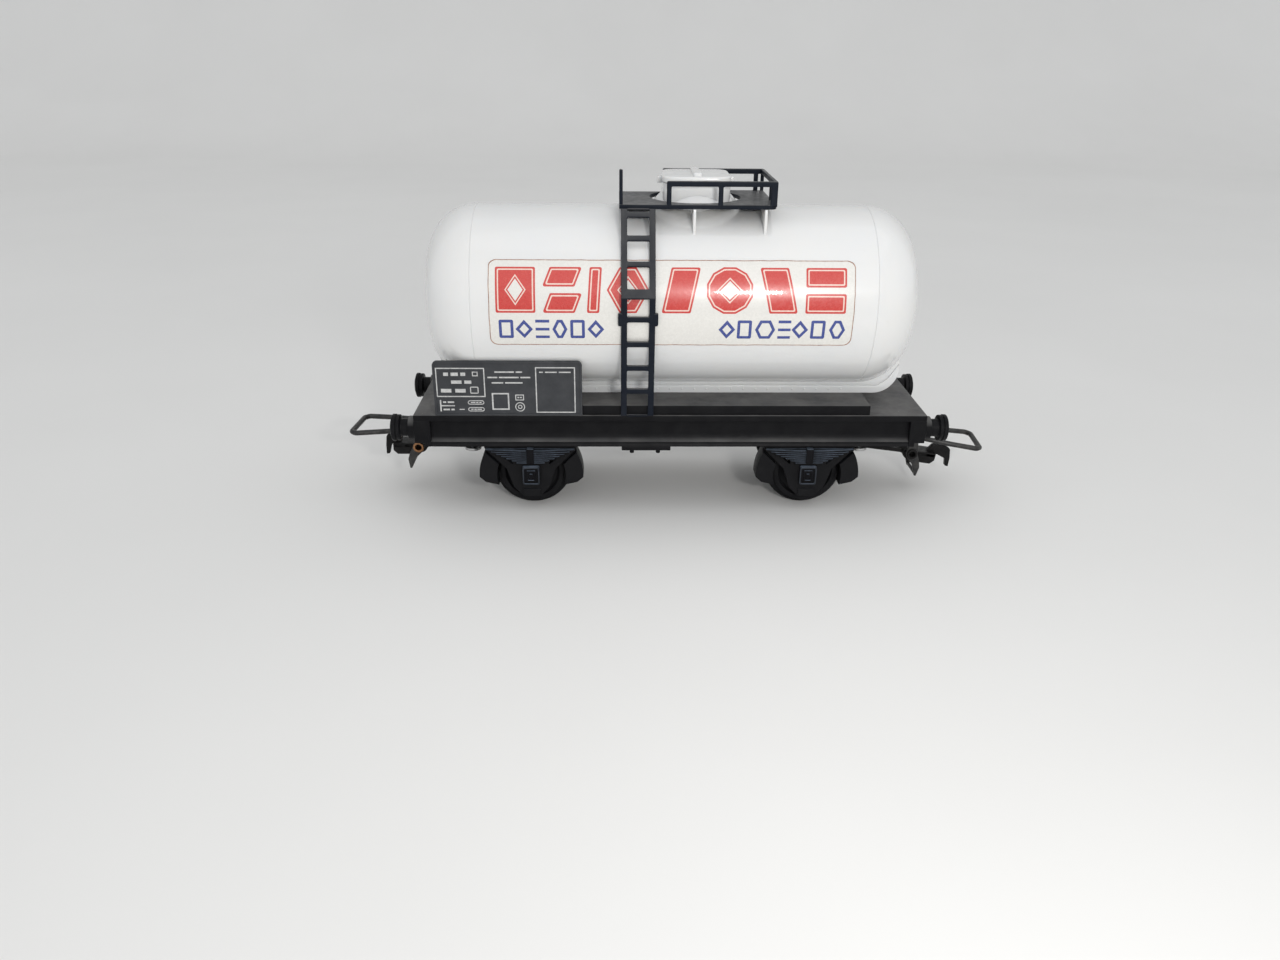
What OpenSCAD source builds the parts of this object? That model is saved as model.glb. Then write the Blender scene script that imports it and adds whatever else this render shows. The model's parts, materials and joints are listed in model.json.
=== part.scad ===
// Model tank wagon on four wheels, about 1:87, with a ladder, a railed walkway and hook couplings.
// Origin: centre of the wagon in plan, lowest point of the wheel flanges in height.
// +X is the right-hand end.

/* [Chassis] */

// Length of the deck over the buffer beams
deck_len = 93.6; // [80:0.2:120]
// Width of the deck over the sole bars
deck_w = 29.2; // [24:0.2:34]
// Height of the deck surface above the flange bottoms
deck_z = 20.25; // [16:0.05:26]
// Thickness of the deck
deck_t = 1.2; // [0.8:0.1:2]
// Height of the sole bars, deck surface included
sole_h = 6.1; // [4:0.1:8]
// Depth of the sole bar flanges across the wagon
sole_d = 2.1; // [1.2:0.1:3]
// Recess of the sole bar web behind the flange edges
web_recess = 1.2; // [0.4:0.1:1.6]
// Length of the block that closes each end of the chassis
beam_len = 2.9; // [2:0.1:8]
// Wall left at the outside of each buffer beam
beam_t = 2.2; // [1:0.1:4]
// Length of the step cut into the lower edge of each end
notch_x = 1.8; // [0:0.1:2]
// Height of the step cut into the lower edge of each end
notch_h = 0.7; // [0:0.1:1.5]
// Height of the raised middle of the deck
plinth_h = 1.8; // [0.6:0.1:3]
// Half length of the raised middle of the deck
plinth_x = 36.2; // [30:0.1:42]
// Ledge left in front of the raised middle
plinth_ledge = 0.4; // [0:0.1:1]

/* [Tank] */

// Radius of the tank barrel
tank_r = 16.4; // [12:0.1:20]
// Height of the tank axis
tank_z = 39.05; // [32:0.05:46]
// Half length of the straight barrel
barrel_x = 35.1; // [25:0.1:40]
// Overall length of the tank over the domed ends
tank_len = 89.8; // [70:0.2:110]
// Corner radius of the domed ends
dome_r = 9; // [4:0.1:14]
// Wall thickness of the tank
tank_t = 1.2; // [0.8:0.1:2]
// Half width of the cradle band under the tank
cradle_y = 6.9; // [4:0.1:10]
// Height of the cradle sides below the ledge groove
cradle_h = 1.25; // [0.8:0.05:2]
// Corner radius of the band that runs up the tank ends
band_r = 4.6; // [3:0.1:6]
// Half length of the cradle over its end bands
band_x = 42.8; // [40:0.1:44]
// Height reached by the band at the tank ends
band_z = 28; // [24:0.1:34]

/* [Manhole] */

// Distance of the manhole from the middle of the wagon
hatch_x = 4.1; // [-10:0.1:10]
// Diameter of the manhole dome
hatch_d = 11.9; // [8:0.1:16]
// Height at which the skirt of the dome starts to lean inwards
flange_z = 56.5; // [54:0.1:58]
// Diameter of the skirt under the dome
flange_d = 14.6; // [12:0.1:18]
// Top of the dome, under its lid
hatch_z = 59.7; // [57:0.1:62]
// Thickness of the lid
lid_t = 1.25; // [0.6:0.05:2]

/* [Walkway] */

// Left end of the walkway
walk_x0 = -9.55; // [-16:0.05:-4]
// Right end of the walkway
walk_x1 = 17.5; // [12:0.1:24]
// Front edge of the walkway
walk_y0 = -10; // [-14:0.1:-8]
// Rear edge of the walkway
walk_y1 = 8.4; // [6:0.1:12]
// Top surface of the walkway
walk_z = 56.87; // [56:0.01:60]
// Thickness of the walkway floor
walk_t = 0.72; // [0.5:0.01:1.2]
// Height of the railing above the floor
rail_h = 3.9; // [2:0.1:6]
// Depth of the flat rail
rail_d = 0.9; // [0.4:0.1:1.4]
// Thickness of rails and posts seen from above
rail_t = 0.6; // [0.4:0.1:1]
// Height of the single grab post at the ladder
grab_h = 5.8; // [3:0.1:8]

/* [Ladder] */

// Middle of the ladder along the wagon
ladder_x = -6.3; // [-10:0.1:0]
// Overall width of the ladder
ladder_w = 5.9; // [4:0.1:8]
// Width of one stile
stile_w = 1.05; // [0.6:0.05:1.5]
// Thickness of the ladder
ladder_t = 0.55; // [0.4:0.05:1]
// Depth of one rung along the stiles
rung_h = 0.95; // [0.5:0.05:1.4]

/* [Data plate] */

// Left edge of the plate
plate_x0 = -42.7; // [-46:0.1:-30]
// Right edge of the plate
plate_x1 = -16.2; // [-25:0.1:-5]
// Height of the plate above the deck
plate_h = 10.2; // [6:0.1:14]
// Thickness of the plate
plate_t = 0.6; // [0.4:0.05:1.2]
// Corner radius at the top of the plate
plate_r = 0.8; // [0.2:0.1:2]

/* [Running gear] */

// Distance between the axles
wheelbase = 52.1; // [40:0.1:70]
// Height of the axles above the flange bottoms
axle_z = 7.3; // [5:0.05:9]
// Radius of the wheel treads
tread_r = 6; // [5:0.05:8]
// Distance between the backs of the wheels
back_to_back = 14.4; // [13:0.1:15]
// Width of a wheel
wheel_w = 2.8; // [2:0.1:4]
// Thickness of a wheel flange
flange_t = 0.9; // [0.5:0.1:1.4]
// Diameter of the axles
axle_d = 2; // [1.5:0.1:3]
// Diameter of the axle journals
journal_d = 1.4; // [1:0.05:2]
// Inner face of the axle guards
guard_y0 = 10.9; // [10.5:0.05:11.5]
// Outer face of the axle guards
guard_y1 = 12.3; // [11.8:0.05:13]
// Half length of the longest spring leaf
leaf_x = 8.3; // [5:0.1:12]
// Half length of the shortest spring leaf
leaf_x_min = 2.6; // [1:0.1:6]
// Number of spring leaves
leaf_n = 7; // [4:1:10]
// Height of the upper face of the top leaf
spring_z = 13.05; // [12:0.05:14]
// Thickness of one leaf
leaf_t = 0.38; // [0.3:0.01:0.7]

/* [Buffers and couplings] */

// Length over the buffer heads
buffer_len = 103; // [90:0.2:130]
// Distance between buffer centres
buffer_gap = 24.3; // [18:0.1:28]
// Height of the buffer centres
buffer_z = 17.05; // [12:0.05:20]
// Diameter of the buffer heads
buffer_d = 5; // [3:0.1:7]
// Diameter of the buffer shanks
shank_d = 3.3; // [1.5:0.1:4]
// Distance of each coupling pivot from the middle of the wagon
pivot_x = 38.5; // [36:0.1:44]
// Height of the top of the coupling bars
bar_z = 9.7; // [8:0.1:12]
// Thickness of the coupling bars
bar_t = 0.8; // [0.5:0.1:1.2]
// Downward tilt of the right-hand coupling on its loose rivet
droop = 8.5; // [0:0.5:10]
// Width and thickness of the loop bar
wire_d = 1.05; // [0.6:0.05:1.4]
// Height of the coupling loops when level
loop_z = 13; // [11:0.1:15]
// How much shorter the left-hand hook is bent
hook_cut = 1.9; // [0:0.1:2.2]
// How much shorter the left-hand loop is bent
loop_cut = 0.95; // [0:0.05:2]

/* [Hidden] */

$fn = 64;
half_l = deck_len / 2;
half_w = deck_w / 2;
sole_z = deck_z - sole_h;
deck_under = deck_z - deck_t;
plinth_z = deck_z + plinth_h;
plinth_y = half_w - plinth_ledge;
flange_low_t = 0.85;
// Running clearance, radial, of the journals in the axle guards
journal_gap = 0.05;
// Assembly clearance, radial, of parts pressed or slid together
slip = 0.01;
// Gap between pieces that move past each other
move_gap = 0.3;

// Domed end: an axial circle of radius cap_r meets the corner circle tangentially
corner_y = tank_r - dome_r;
end_rise = tank_len / 2 - barrel_x - dome_r;
cap_k = (corner_y * corner_y - end_rise * end_rise) / (2 * end_rise);
cap_r = dome_r + end_rise + cap_k;
wedge = 3 * cap_r;

// Cradle heights
cradle_z1 = plinth_z + cradle_h;
groove_t = 0.2;
ledge_t = 0.75;
cradle_x = barrel_x + 1.2;
screw_x = 11;
screw_r = 0.8;
screw_head_r = 1.6;
screw_head_t = 1.1;
screw_top = 27;
boss_in_r = 2;
boss_in_top = 28.2;

// Manhole details
neck_z = 50;
skirt_z = flange_z + 1.4;
lid_r = hatch_d / 2 + 0.1;
lid_edge = 0.55;
strap_w = 1.4;
strap_t = 0.62;
strap_gap = 0.02;

// Walkway support brackets, moulded on the barrel
bracket_x = [hatch_x - 0.7, 15.7];
bracket_t = 0.55;
walk_under = walk_z - walk_t;
walk_hole_d = 16.3;
walk_step_x = -1.5;
walk_step_y = 6;
rail_z = walk_z + rail_h;
rail_x0 = -1.45;
mid_post_x = 7.4;
post_w = 0.8;
corner_post_w = 1.15;
grab_w = 0.6;

// Ladder centre line: foot, knee and head, seen from the end of the wagon
foot_y = -14.5;
foot_z = deck_z + 0.05;
knee_y = -17.25;
knee_z = 42.4;
head_y = walk_y0 - 0.05;
head_z = walk_under - 0.02;
low_lean = atan2(foot_y - knee_y, knee_z - foot_z);
top_lean = atan2(head_y - knee_y, head_z - knee_z);
low_rungs = [4.9, 9.4, 13.9, 18.5];
top_rungs = [1.1, 5.9, 10.4, 14.5];
lug_w = 0.5;
lug_h = 2.3;
clip_t = 0.75;
clip_peg_r = 0.4;

// Wheels and guards
flange_r = axle_z;
wheel_y = back_to_back / 2;
axle_x = wheelbase / 2;
tyre_w = 0.9;
hub_r = 1.9;
web_gap = 0.7;
axle_half = wheel_y + wheel_w + 0.35;
journal_half = guard_y1 - 0.15;
guard_low = 3.2;
keeper_x = 1.65;
box_w = 3.3;
box_h = 3.7;
box_z = axle_z + 0.35;
box_t = 1;
box_rim = 0.35;
box_core = 0.8;
buckle_w = 1.35;
tie_x = 9.9;
tie_t = 1.4;
shoe_y0 = 8.5;
shoe_y1 = 12.2;
shoe_gap = 0.45;
shoe_t = 3.3;
hanger_t = 1;
hanger_x = tread_r + shoe_gap + 1.1;

// Buffers
buffer_x = buffer_len / 2;
head_t = 1.9;
head_dome_r = 9;
collar_d = 4.3;
collar_t = 1.3;
spigot_r = 0.9;
spigot_l = 1.5;

// Couplings, drawn for the right-hand end with the pivot at the local origin
eye_x = 10.2;
eye_dz = -0.3;
eye_r = 1.6;
body_x0 = 8.6;
body_x1 = 15.4;
hook_len = 3.65;
tail_dz = 4.8;
body_y = 2;
body_wall = 0.7;
body_h = 2.2;
pin_r = 0.75;
pin_head_r = 1.08;
pin_head_t = 0.3;
pin_bore_r = 0.55;
pin_gap = 0.06;
lever_y0 = body_y + 0.35;
lever_t = 0.65;
rivet_r = 0.75;
rivet_gap = 0.1;
rivet_head_r = 1.6;
boss_r = 2.4;
boss_z = bar_z + 0.55;
loop_dz = loop_z - bar_z;

// ---------- helpers ----------

// Box between two corners
module span(a, b) {
  translate(a)
    cube(b - a);
}

// Cylinder along Y between two Y values
module rod_y(x, z, y0, y1, r) {
  translate([x, y0, z])
    rotate([-90, 0, 0])
      cylinder(h = y1 - y0, r = r);
}

// Plate in the XZ plane, from y0 to y1
module plate_xz(y0, y1) {
  translate([0, y1, 0])
    rotate([90, 0, 0])
      linear_extrude(height = y1 - y0)
        children();
}

// Copy on the other side of the wagon
module both_y() {
  children();
  mirror([0, 1, 0])
    children();
}

// Copy at the other end of the wagon
module both_x() {
  children();
  mirror([1, 0, 0])
    children();
}

// Flat strip in plan from one point to another, with an eight-sided joint at its far end
module strip(a, b, w) {
  d = b - a;
  translate(a)
    rotate(atan2(d[1], d[0]))
      translate([0, -w / 2])
        square([norm(d), w]);
  translate(b)
    circle(r = w / 2 / cos(22.5), $fn = 8);
}

// ---------- chassis ----------

module sole_bar() {
  difference() {
    span([-half_l, -half_w, sole_z], [half_l, -half_w + sole_d, deck_under]);
    span([-half_l + beam_len, -half_w - 1, sole_z + flange_low_t],
      [half_l - beam_len, -half_w + web_recess, deck_under]);
  }
}

module end_beam() {
  span([half_l - beam_t, -half_w, sole_z], [half_l, half_w, deck_under]);
}

module buffer_collars() {
  for (s = [-1, 1])
    translate([half_l, s * buffer_gap / 2, buffer_z])
      rotate([0, 90, 0])
        cylinder(h = collar_t, r = collar_d / 2);
}

module coupling_boss() {
  translate([pivot_x, 0, boss_z])
    cylinder(h = deck_under - boss_z, r = boss_r);
}

module underframe() {
  color([0.09, 0.09, 0.1])
    difference() {
      union() {
        span([-half_l, -half_w, deck_under], [half_l, half_w, deck_z]);
        span([-plinth_x, -plinth_y, deck_z], [plinth_x, plinth_y, plinth_z]);
        both_y()
          sole_bar();
        both_x() {
          end_beam();
          buffer_collars();
          coupling_boss();
        }
      }
      both_x() {
        span([half_l - notch_x, -half_w - 1, sole_z - 1], [half_l + 1, half_w + 1, sole_z + notch_h]);
        translate([pivot_x, 0, boss_z - 1])
          cylinder(h = 6, r = rivet_r + slip);
        translate([screw_x, 0, deck_under - 1])
          cylinder(h = 6, r = screw_r + slip);
        for (s = [-1, 1])
          translate([half_l - spigot_l, s * buffer_gap / 2, buffer_z])
            rotate([0, 90, 0])
              cylinder(h = 6, r = spigot_r + slip);
      }
      span([plate_x0 - 0.1, -half_w - 1, deck_z], [plate_x1 + 0.1, -half_w + plate_t + 0.02, plinth_z + 1]);
    }
}

module coupling_rivets() {
  color([0.55, 0.5, 0.42])
    both_x()
      translate([pivot_x, 0, 0]) {
        translate([0, 0, boss_z])
          cylinder(h = 4.5, r = rivet_r);
        translate([0, 0, bar_z - bar_t - 0.9])
          cylinder(h = boss_z - bar_z + bar_t + 0.9, r = rivet_r);
        translate([0, 0, bar_z - bar_t - 0.95])
          cylinder(h = 0.5, r = rivet_head_r);
      }
}

// ---------- tank ----------

// Half section of the domed end in (radius, length), grown by g
module end_section(g) {
  square([corner_y, barrel_x]);
  square([tank_r + g, barrel_x]);
  intersection() {
    translate([corner_y, barrel_x])
      circle(r = dome_r + g, $fn = 96);
    square([tank_r + g, barrel_x + dome_r + g]);
  }
  intersection() {
    translate([0, barrel_x - cap_k])
      circle(r = cap_r + g, $fn = 192);
    polygon([[0, barrel_x - cap_k], [wedge * corner_y / (cap_r - dome_r),
      barrel_x - cap_k + wedge * cap_k / (cap_r - dome_r)], [0, wedge]]);
  }
}

// Whole right half of the tank as a solid of revolution, grown by g
module tank_half(g) {
  translate([0, 0, tank_z])
    rotate([0, 90, 0])
      rotate_extrude()
        end_section(g);
}

module tank_barrel() {
  color([0.93, 0.92, 0.88]) {
    difference() {
      translate([-barrel_x, 0, tank_z])
        rotate([0, 90, 0])
          cylinder(h = 2 * barrel_x, r = tank_r, $fn = 96);
      translate([-barrel_x - 1, 0, tank_z])
        rotate([0, 90, 0])
          cylinder(h = 2 * barrel_x + 2, r = tank_r - tank_t, $fn = 96);
      for (s = [-1, 1])
        translate([s * screw_x, 0, deck_z])
          cylinder(h = screw_top - deck_z, r = screw_r + slip);
    }
    for (s = [-1, 1])
      translate([s * screw_x, 0, 0])
        difference() {
          translate([0, 0, tank_z - tank_r + tank_t / 2])
            cylinder(h = boss_in_top - tank_z + tank_r - tank_t / 2, r = boss_in_r);
          translate([0, 0, deck_z])
            cylinder(h = screw_top + 0.2 - deck_z, r = screw_r + slip);
        }
    for (x = bracket_x)
      difference() {
        span([x - bracket_t / 2, walk_y0 - 0.2, tank_z + 8], [x + bracket_t / 2, walk_y0 + 4.5, walk_under]);
        translate([-barrel_x, 0, tank_z])
          rotate([0, 90, 0])
            cylinder(h = 2 * barrel_x, r = tank_r - 0.3, $fn = 96);
        translate([hatch_x, 0, neck_z])
          cylinder(h = 10, r = flange_d / 2 + 0.05);
      }
  }
}

module end_cap() {
  difference() {
    tank_half(0);
    tank_half(-tank_t);
    translate([-1, 0, tank_z])
      rotate([0, 90, 0])
        cylinder(h = barrel_x + 1, r = tank_r + 1);
  }
  difference() {
    translate([barrel_x - 1.5, 0, tank_z])
      rotate([0, 90, 0])
        cylinder(h = 2.5, r = tank_r - tank_t - slip, $fn = 96);
    translate([barrel_x - 2, 0, tank_z])
      rotate([0, 90, 0])
        cylinder(h = 4, r = tank_r - 2 * tank_t, $fn = 96);
  }
}

module tank_end_right() {
  color([0.93, 0.92, 0.88])
    end_cap();
}

module tank_end_left() {
  color([0.93, 0.92, 0.88])
    mirror([1, 0, 0])
      end_cap();
}

// Band that runs up under the right-hand tank end; the tank is cut out of it later
module end_band() {
  plate_xz(-cradle_y, cradle_y) {
    translate([barrel_x - 0.5, plinth_z])
      square([band_x - band_r - barrel_x + 0.5, band_z - plinth_z]);
    translate([barrel_x, plinth_z + band_r])
      square([band_x - barrel_x, band_z - plinth_z - band_r]);
    translate([band_x - band_r, plinth_z + band_r])
      circle(r = band_r, $fn = 96);
  }
}

// Bed on the deck with a ledge, and a band at each end
module tank_cradle() {
  color([0.93, 0.92, 0.88])
    difference() {
      union() {
        span([-cradle_x, -cradle_y, plinth_z], [cradle_x, cradle_y, cradle_z1]);
        span([-cradle_x, -cradle_y + groove_t, cradle_z1],
          [cradle_x, cradle_y - groove_t, cradle_z1 + groove_t]);
        span([-cradle_x, -cradle_y, cradle_z1 + groove_t],
          [cradle_x, cradle_y, cradle_z1 + groove_t + ledge_t]);
        both_x()
          end_band();
      }
      tank_half(slip);
      mirror([1, 0, 0])
        tank_half(slip);
      for (s = [-1, 1])
        translate([s * screw_x, 0, deck_z])
          cylinder(h = screw_top + 0.1 - deck_z, r = screw_r + slip);
    }
}

module tank_screws() {
  color([0.6, 0.6, 0.62])
    both_x()
      translate([screw_x, 0, 0]) {
        translate([0, 0, deck_under])
          cylinder(h = screw_top - deck_under, r = screw_r);
        difference() {
          translate([0, 0, deck_under - screw_head_t])
            cylinder(h = screw_head_t, r = screw_head_r);
          span([-2, -0.2, deck_under - screw_head_t - 1], [2, 0.2, deck_under - screw_head_t + 0.5]);
        }
      }
}

// ---------- manhole ----------

module manhole_dome() {
  color([0.93, 0.92, 0.88])
    difference() {
      translate([hatch_x, 0, 0])
        rotate_extrude()
          polygon([[0, neck_z], [flange_d / 2, neck_z], [flange_d / 2, flange_z], [hatch_d / 2, skirt_z],
            [hatch_d / 2, hatch_z], [0, hatch_z]]);
      translate([-barrel_x, 0, tank_z])
        rotate([0, 90, 0])
          cylinder(h = 2 * barrel_x, r = tank_r + slip, $fn = 96);
    }
}

module manhole_lid() {
  color([0.93, 0.92, 0.88])
    translate([hatch_x, 0, hatch_z])
      rotate_extrude() {
        square([lid_r, lid_t - lid_edge]);
        square([lid_r - lid_edge, lid_t]);
        translate([lid_r - lid_edge, lid_t - lid_edge])
          circle(r = lid_edge, $fn = 32);
      }
}

module lid_strap() {
  top = hatch_z + lid_t + strap_gap;
  color([0.9, 0.89, 0.85])
    translate([hatch_x, 0, 0])
      span([-strap_w / 2, -lid_r + 0.6, top], [strap_w / 2, lid_r - 0.6, top + strap_t]);
}

// ---------- walkway, railing and ladder ----------

module walkway() {
  color([0.15, 0.15, 0.16])
    difference() {
      union() {
        span([walk_x0, walk_y0, walk_under], [walk_x1 - 1, walk_step_y, walk_z]);
        span([walk_step_x, walk_y0 + 1, walk_under], [walk_x1, walk_y1, walk_z]);
        translate([walk_x1 - 1, walk_y0 + 1, walk_under])
          cylinder(h = walk_t, r = 1, $fn = 32);
      }
      translate([hatch_x, 0, walk_under - 1])
        cylinder(h = walk_t + 2, r = walk_hole_d / 2);
    }
}

// Post of the railing with its outer corner at (x, y)
module rail_post(x0, y0, w, d) {
  span([x0, y0, walk_z], [x0 + w, y0 + d, rail_z]);
}

module railing() {
  x1 = walk_x1;
  y0 = walk_y0;
  y1 = walk_y1;
  color([0.12, 0.12, 0.14]) {
    span([rail_x0, y0, rail_z - rail_d], [x1, y0 + rail_t, rail_z]);
    span([x1 - rail_t, y0, rail_z - rail_d], [x1, y1, rail_z]);
    span([rail_x0, y1 - rail_t, rail_z - rail_d], [x1, y1, rail_z]);
    rail_post(rail_x0, y0, post_w, rail_t);
    rail_post(mid_post_x, y0, post_w, rail_t);
    difference() {
      rail_post(x1 - corner_post_w, y0, corner_post_w, rail_t);
      difference() {
        span([x1 - 1, y0 - 1, walk_z - 1], [x1 + 1, y0 + 1, walk_z]);
        translate([x1 - 1, y0 + 1, walk_z - 2])
          cylinder(h = 4, r = 1, $fn = 32);
      }
    }
    rail_post(x1 - rail_t, y0 + 5.6, rail_t, post_w);
    rail_post(x1 - 1.9, y1 - rail_t, post_w, rail_t);
    rail_post(rail_x0, y1 - rail_t, post_w, rail_t);
  }
}

module grab_post() {
  color([0.12, 0.12, 0.14])
    difference() {
      span([walk_x0, walk_y0, walk_z], [walk_x0 + grab_w, walk_y0 + rail_t, walk_z + grab_h]);
      translate([walk_x0, walk_y0 - 1, walk_z + grab_h])
        rotate([0, 45, 0])
          cube([0.35, 3, 0.35], center = true);
    }
}

// Side outline of a stile in (y, z): foot, mitred knee and head, ladder_t thick
module stile_outline() {
  h = ladder_t / 2;
  low_n = [cos(low_lean), sin(low_lean)];
  top_n = [cos(top_lean), -sin(top_lean)];
  mid = (low_n + top_n) / norm(low_n + top_n);
  m = h / cos((top_lean + low_lean) / 2);
  foot = [foot_y, foot_z];
  knee = [knee_y, knee_z];
  head = [head_y, head_z];
  polygon([foot + h * low_n, knee + m * mid, head + h * top_n,
    head - h * top_n, knee - m * mid, foot - h * low_n]);
}

// Rungs across one straight length, at the given distances from its lower end
module ladder_rungs(places) {
  for (z = places)
    translate([0, 0, z])
      cube([ladder_w - 0.7, ladder_t - 0.1, rung_h], center = true);
}

module ladder() {
  color([0.12, 0.12, 0.13])
    difference() {
      union() {
        for (s = [-1, 1])
          translate([ladder_x + s * (ladder_w / 2 - stile_w / 2) - stile_w / 2, 0, 0])
            rotate([90, 0, 90])
              linear_extrude(height = stile_w)
                stile_outline();
        translate([ladder_x, foot_y, foot_z])
          rotate([low_lean, 0, 0]) {
            ladder_rungs(low_rungs);
            for (s = [-1, 1])
              translate([s * (ladder_w / 2 + lug_w / 2 - 0.1), 0, low_rungs[3]])
                cube([lug_w + 0.2, ladder_t + 0.1, lug_h], center = true);
          }
        translate([ladder_x, knee_y, knee_z])
          rotate([-top_lean, 0, 0])
            ladder_rungs(top_rungs);
      }
      span([-20, -20, deck_z - 3], [10, -5, deck_z + 0.02]);
      span([-20, -20, walk_under - 0.01], [10, -5, walk_z + 3]);
    }
}

// Small plate with two pegs below the sole bar, under the ladder
module ladder_clip() {
  color([0.1, 0.1, 0.11]) {
    span([-9.1, -half_w + 0.05, sole_z - clip_t], [-0.1, -half_w + 1.5, sole_z]);
    for (x = [-7.2, -2.4])
      translate([x, -half_w + 0.6, sole_z - clip_t - 0.6])
        cylinder(h = 1, r = clip_peg_r, $fn = 32);
  }
}

// ---------- data plate ----------

module plate_outline(inset) {
  x0 = plate_x0 + inset;
  x1 = plate_x1 - inset;
  z0 = deck_z + 0.02 + inset;
  z1 = deck_z + plate_h - inset;
  translate([x0, z0])
    square([x1 - x0, z1 - z0 - plate_r]);
  translate([x0 + plate_r, z0])
    square([x1 - x0 - 2 * plate_r, z1 - z0]);
  for (x = [x0 + plate_r, x1 - plate_r])
    translate([x, z1 - plate_r])
      circle(r = plate_r, $fn = 32);
}

module data_plate() {
  color([0.16, 0.17, 0.18]) {
    plate_xz(-half_w + 0.12, -half_w + plate_t)
      plate_outline(0);
    plate_xz(-half_w, -half_w + 0.15)
      difference() {
        plate_outline(0);
        plate_outline(0.35);
      }
  }
}

// ---------- running gear ----------

// One axle guard pair with its tie plate under the deck, centred on its axle
module gear_unit() {
  difference() {
    union() {
      span([-tie_x, -guard_y1, deck_under - tie_t], [tie_x, guard_y1, deck_under]);
      both_y()
        plate_xz(-guard_y1, -guard_y0)
          difference() {
            polygon([[-8.6, deck_under], [-8.6, sole_z - 1.2], [-4.6, 8.8], [-3.3, 5],
              [-keeper_x, guard_low], [keeper_x, guard_low], [3.3, 5], [4.6, 8.8],
              [8.6, sole_z - 1.2], [8.6, deck_under]]);
            for (s = [-1, 1])
              polygon([[s * 3.4, 9.6], [s * 6.4, 12.4], [s * 3.4, 12.4]]);
          }
    }
    rod_y(0, axle_z, -guard_y1 - 1, guard_y1 + 1, journal_d / 2 + journal_gap);
  }
}

module gear_left() {
  color([0.1, 0.1, 0.11])
    translate([-axle_x, 0, 0])
      gear_unit();
}

module gear_right() {
  color([0.1, 0.1, 0.11])
    translate([axle_x, 0, 0])
      gear_unit();
}

// Laminated spring on the near side, centred on x = 0
module leaf_spring() {
  y1 = -guard_y1;
  for (i = [0 : leaf_n - 1]) {
    half = leaf_x - i * (leaf_x - leaf_x_min) / (leaf_n - 1);
    z1 = spring_z - i * (leaf_t + 0.02);
    span([-half, y1 - 1.05, z1 - leaf_t], [half, y1, z1 + 0.03]);
  }
  span([-buckle_w / 2, y1 - 1.3, spring_z - leaf_n * (leaf_t + 0.02)], [buckle_w / 2, y1, spring_z + 0.2]);
}

// Axle box cover on the near side, centred on x = 0
module axle_box() {
  y1 = -guard_y1;
  z0 = box_z - box_h / 2;
  difference() {
    span([-box_w / 2, y1 - box_t, z0], [box_w / 2, y1, z0 + box_h]);
    difference() {
      span([-box_w / 2 + box_rim, y1 - box_t - 1, z0 + box_rim],
        [box_w / 2 - box_rim, y1 - box_t + 0.25, z0 + box_h - box_rim]);
      span([-box_core, y1 - box_t - 2, z0 + box_core], [box_core, y1, z0 + box_h - box_core]);
    }
  }
}

// Brake block with its hanger on the near side, on the +X side of the axle at x = 0
module brake_shoe() {
  difference() {
    union() {
      plate_xz(-shoe_y1, -shoe_y0)
        intersection() {
          difference() {
            circle_at(axle_z, tread_r + shoe_gap + shoe_t);
            circle_at(axle_z, tread_r + shoe_gap);
          }
          polygon([[3, 4.7], [8.6, 6], [12, 9], [12, 12.6], [3, 12.6]]);
        }
      span([hanger_x, -guard_y0 + 0.1, 11], [hanger_x + hanger_t, -guard_y0 + 1.2, deck_under - tie_t]);
    }
    rod_y(0, axle_z, -shoe_y0 - 0.9, 0, flange_r + move_gap);
    plate_xz(-guard_y1 - 0.1, -guard_y0 + 0.05)
      polygon([[0, 0], [3.8, 4.9], [5.1, 8.6], [9.2, 12.7], [9.2, deck_under], [0, deck_under]]);
  }
}

module circle_at(z, r) {
  translate([0, z])
    circle(r = r, $fn = 96);
}

module spring_right_near() {
  color([0.13, 0.13, 0.14])
    translate([axle_x, 0, 0])
      leaf_spring();
}

module spring_right_far() {
  mirror([0, 1, 0])
    spring_right_near();
}

module spring_left_near() {
  mirror([1, 0, 0])
    spring_right_near();
}

module spring_left_far() {
  mirror([1, 0, 0])
    spring_right_far();
}

module axle_box_right_near() {
  color([0.13, 0.13, 0.14])
    translate([axle_x, 0, 0])
      axle_box();
}

module axle_box_right_far() {
  mirror([0, 1, 0])
    axle_box_right_near();
}

module axle_box_left_near() {
  mirror([1, 0, 0])
    axle_box_right_near();
}

module axle_box_left_far() {
  mirror([1, 0, 0])
    axle_box_right_far();
}

module shoe_right_near_outer() {
  color([0.11, 0.11, 0.12])
    translate([axle_x, 0, 0])
      brake_shoe();
}

module shoe_right_near_inner() {
  color([0.11, 0.11, 0.12])
    translate([axle_x, 0, 0])
      mirror([1, 0, 0])
        brake_shoe();
}

module shoe_right_far_outer() {
  mirror([0, 1, 0])
    shoe_right_near_outer();
}

module shoe_right_far_inner() {
  mirror([0, 1, 0])
    shoe_right_near_inner();
}

module shoe_left_near_outer() {
  mirror([1, 0, 0])
    shoe_right_near_outer();
}

module shoe_left_near_inner() {
  mirror([1, 0, 0])
    shoe_right_near_inner();
}

module shoe_left_far_outer() {
  mirror([1, 0, 0])
    shoe_right_far_outer();
}

module shoe_left_far_inner() {
  mirror([1, 0, 0])
    shoe_right_far_inner();
}

// ---------- wheels ----------

module axle_rod() {
  rod_y(0, axle_z, -axle_half, axle_half, axle_d / 2);
  rod_y(0, axle_z, -journal_half, journal_half, journal_d / 2);
}

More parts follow.
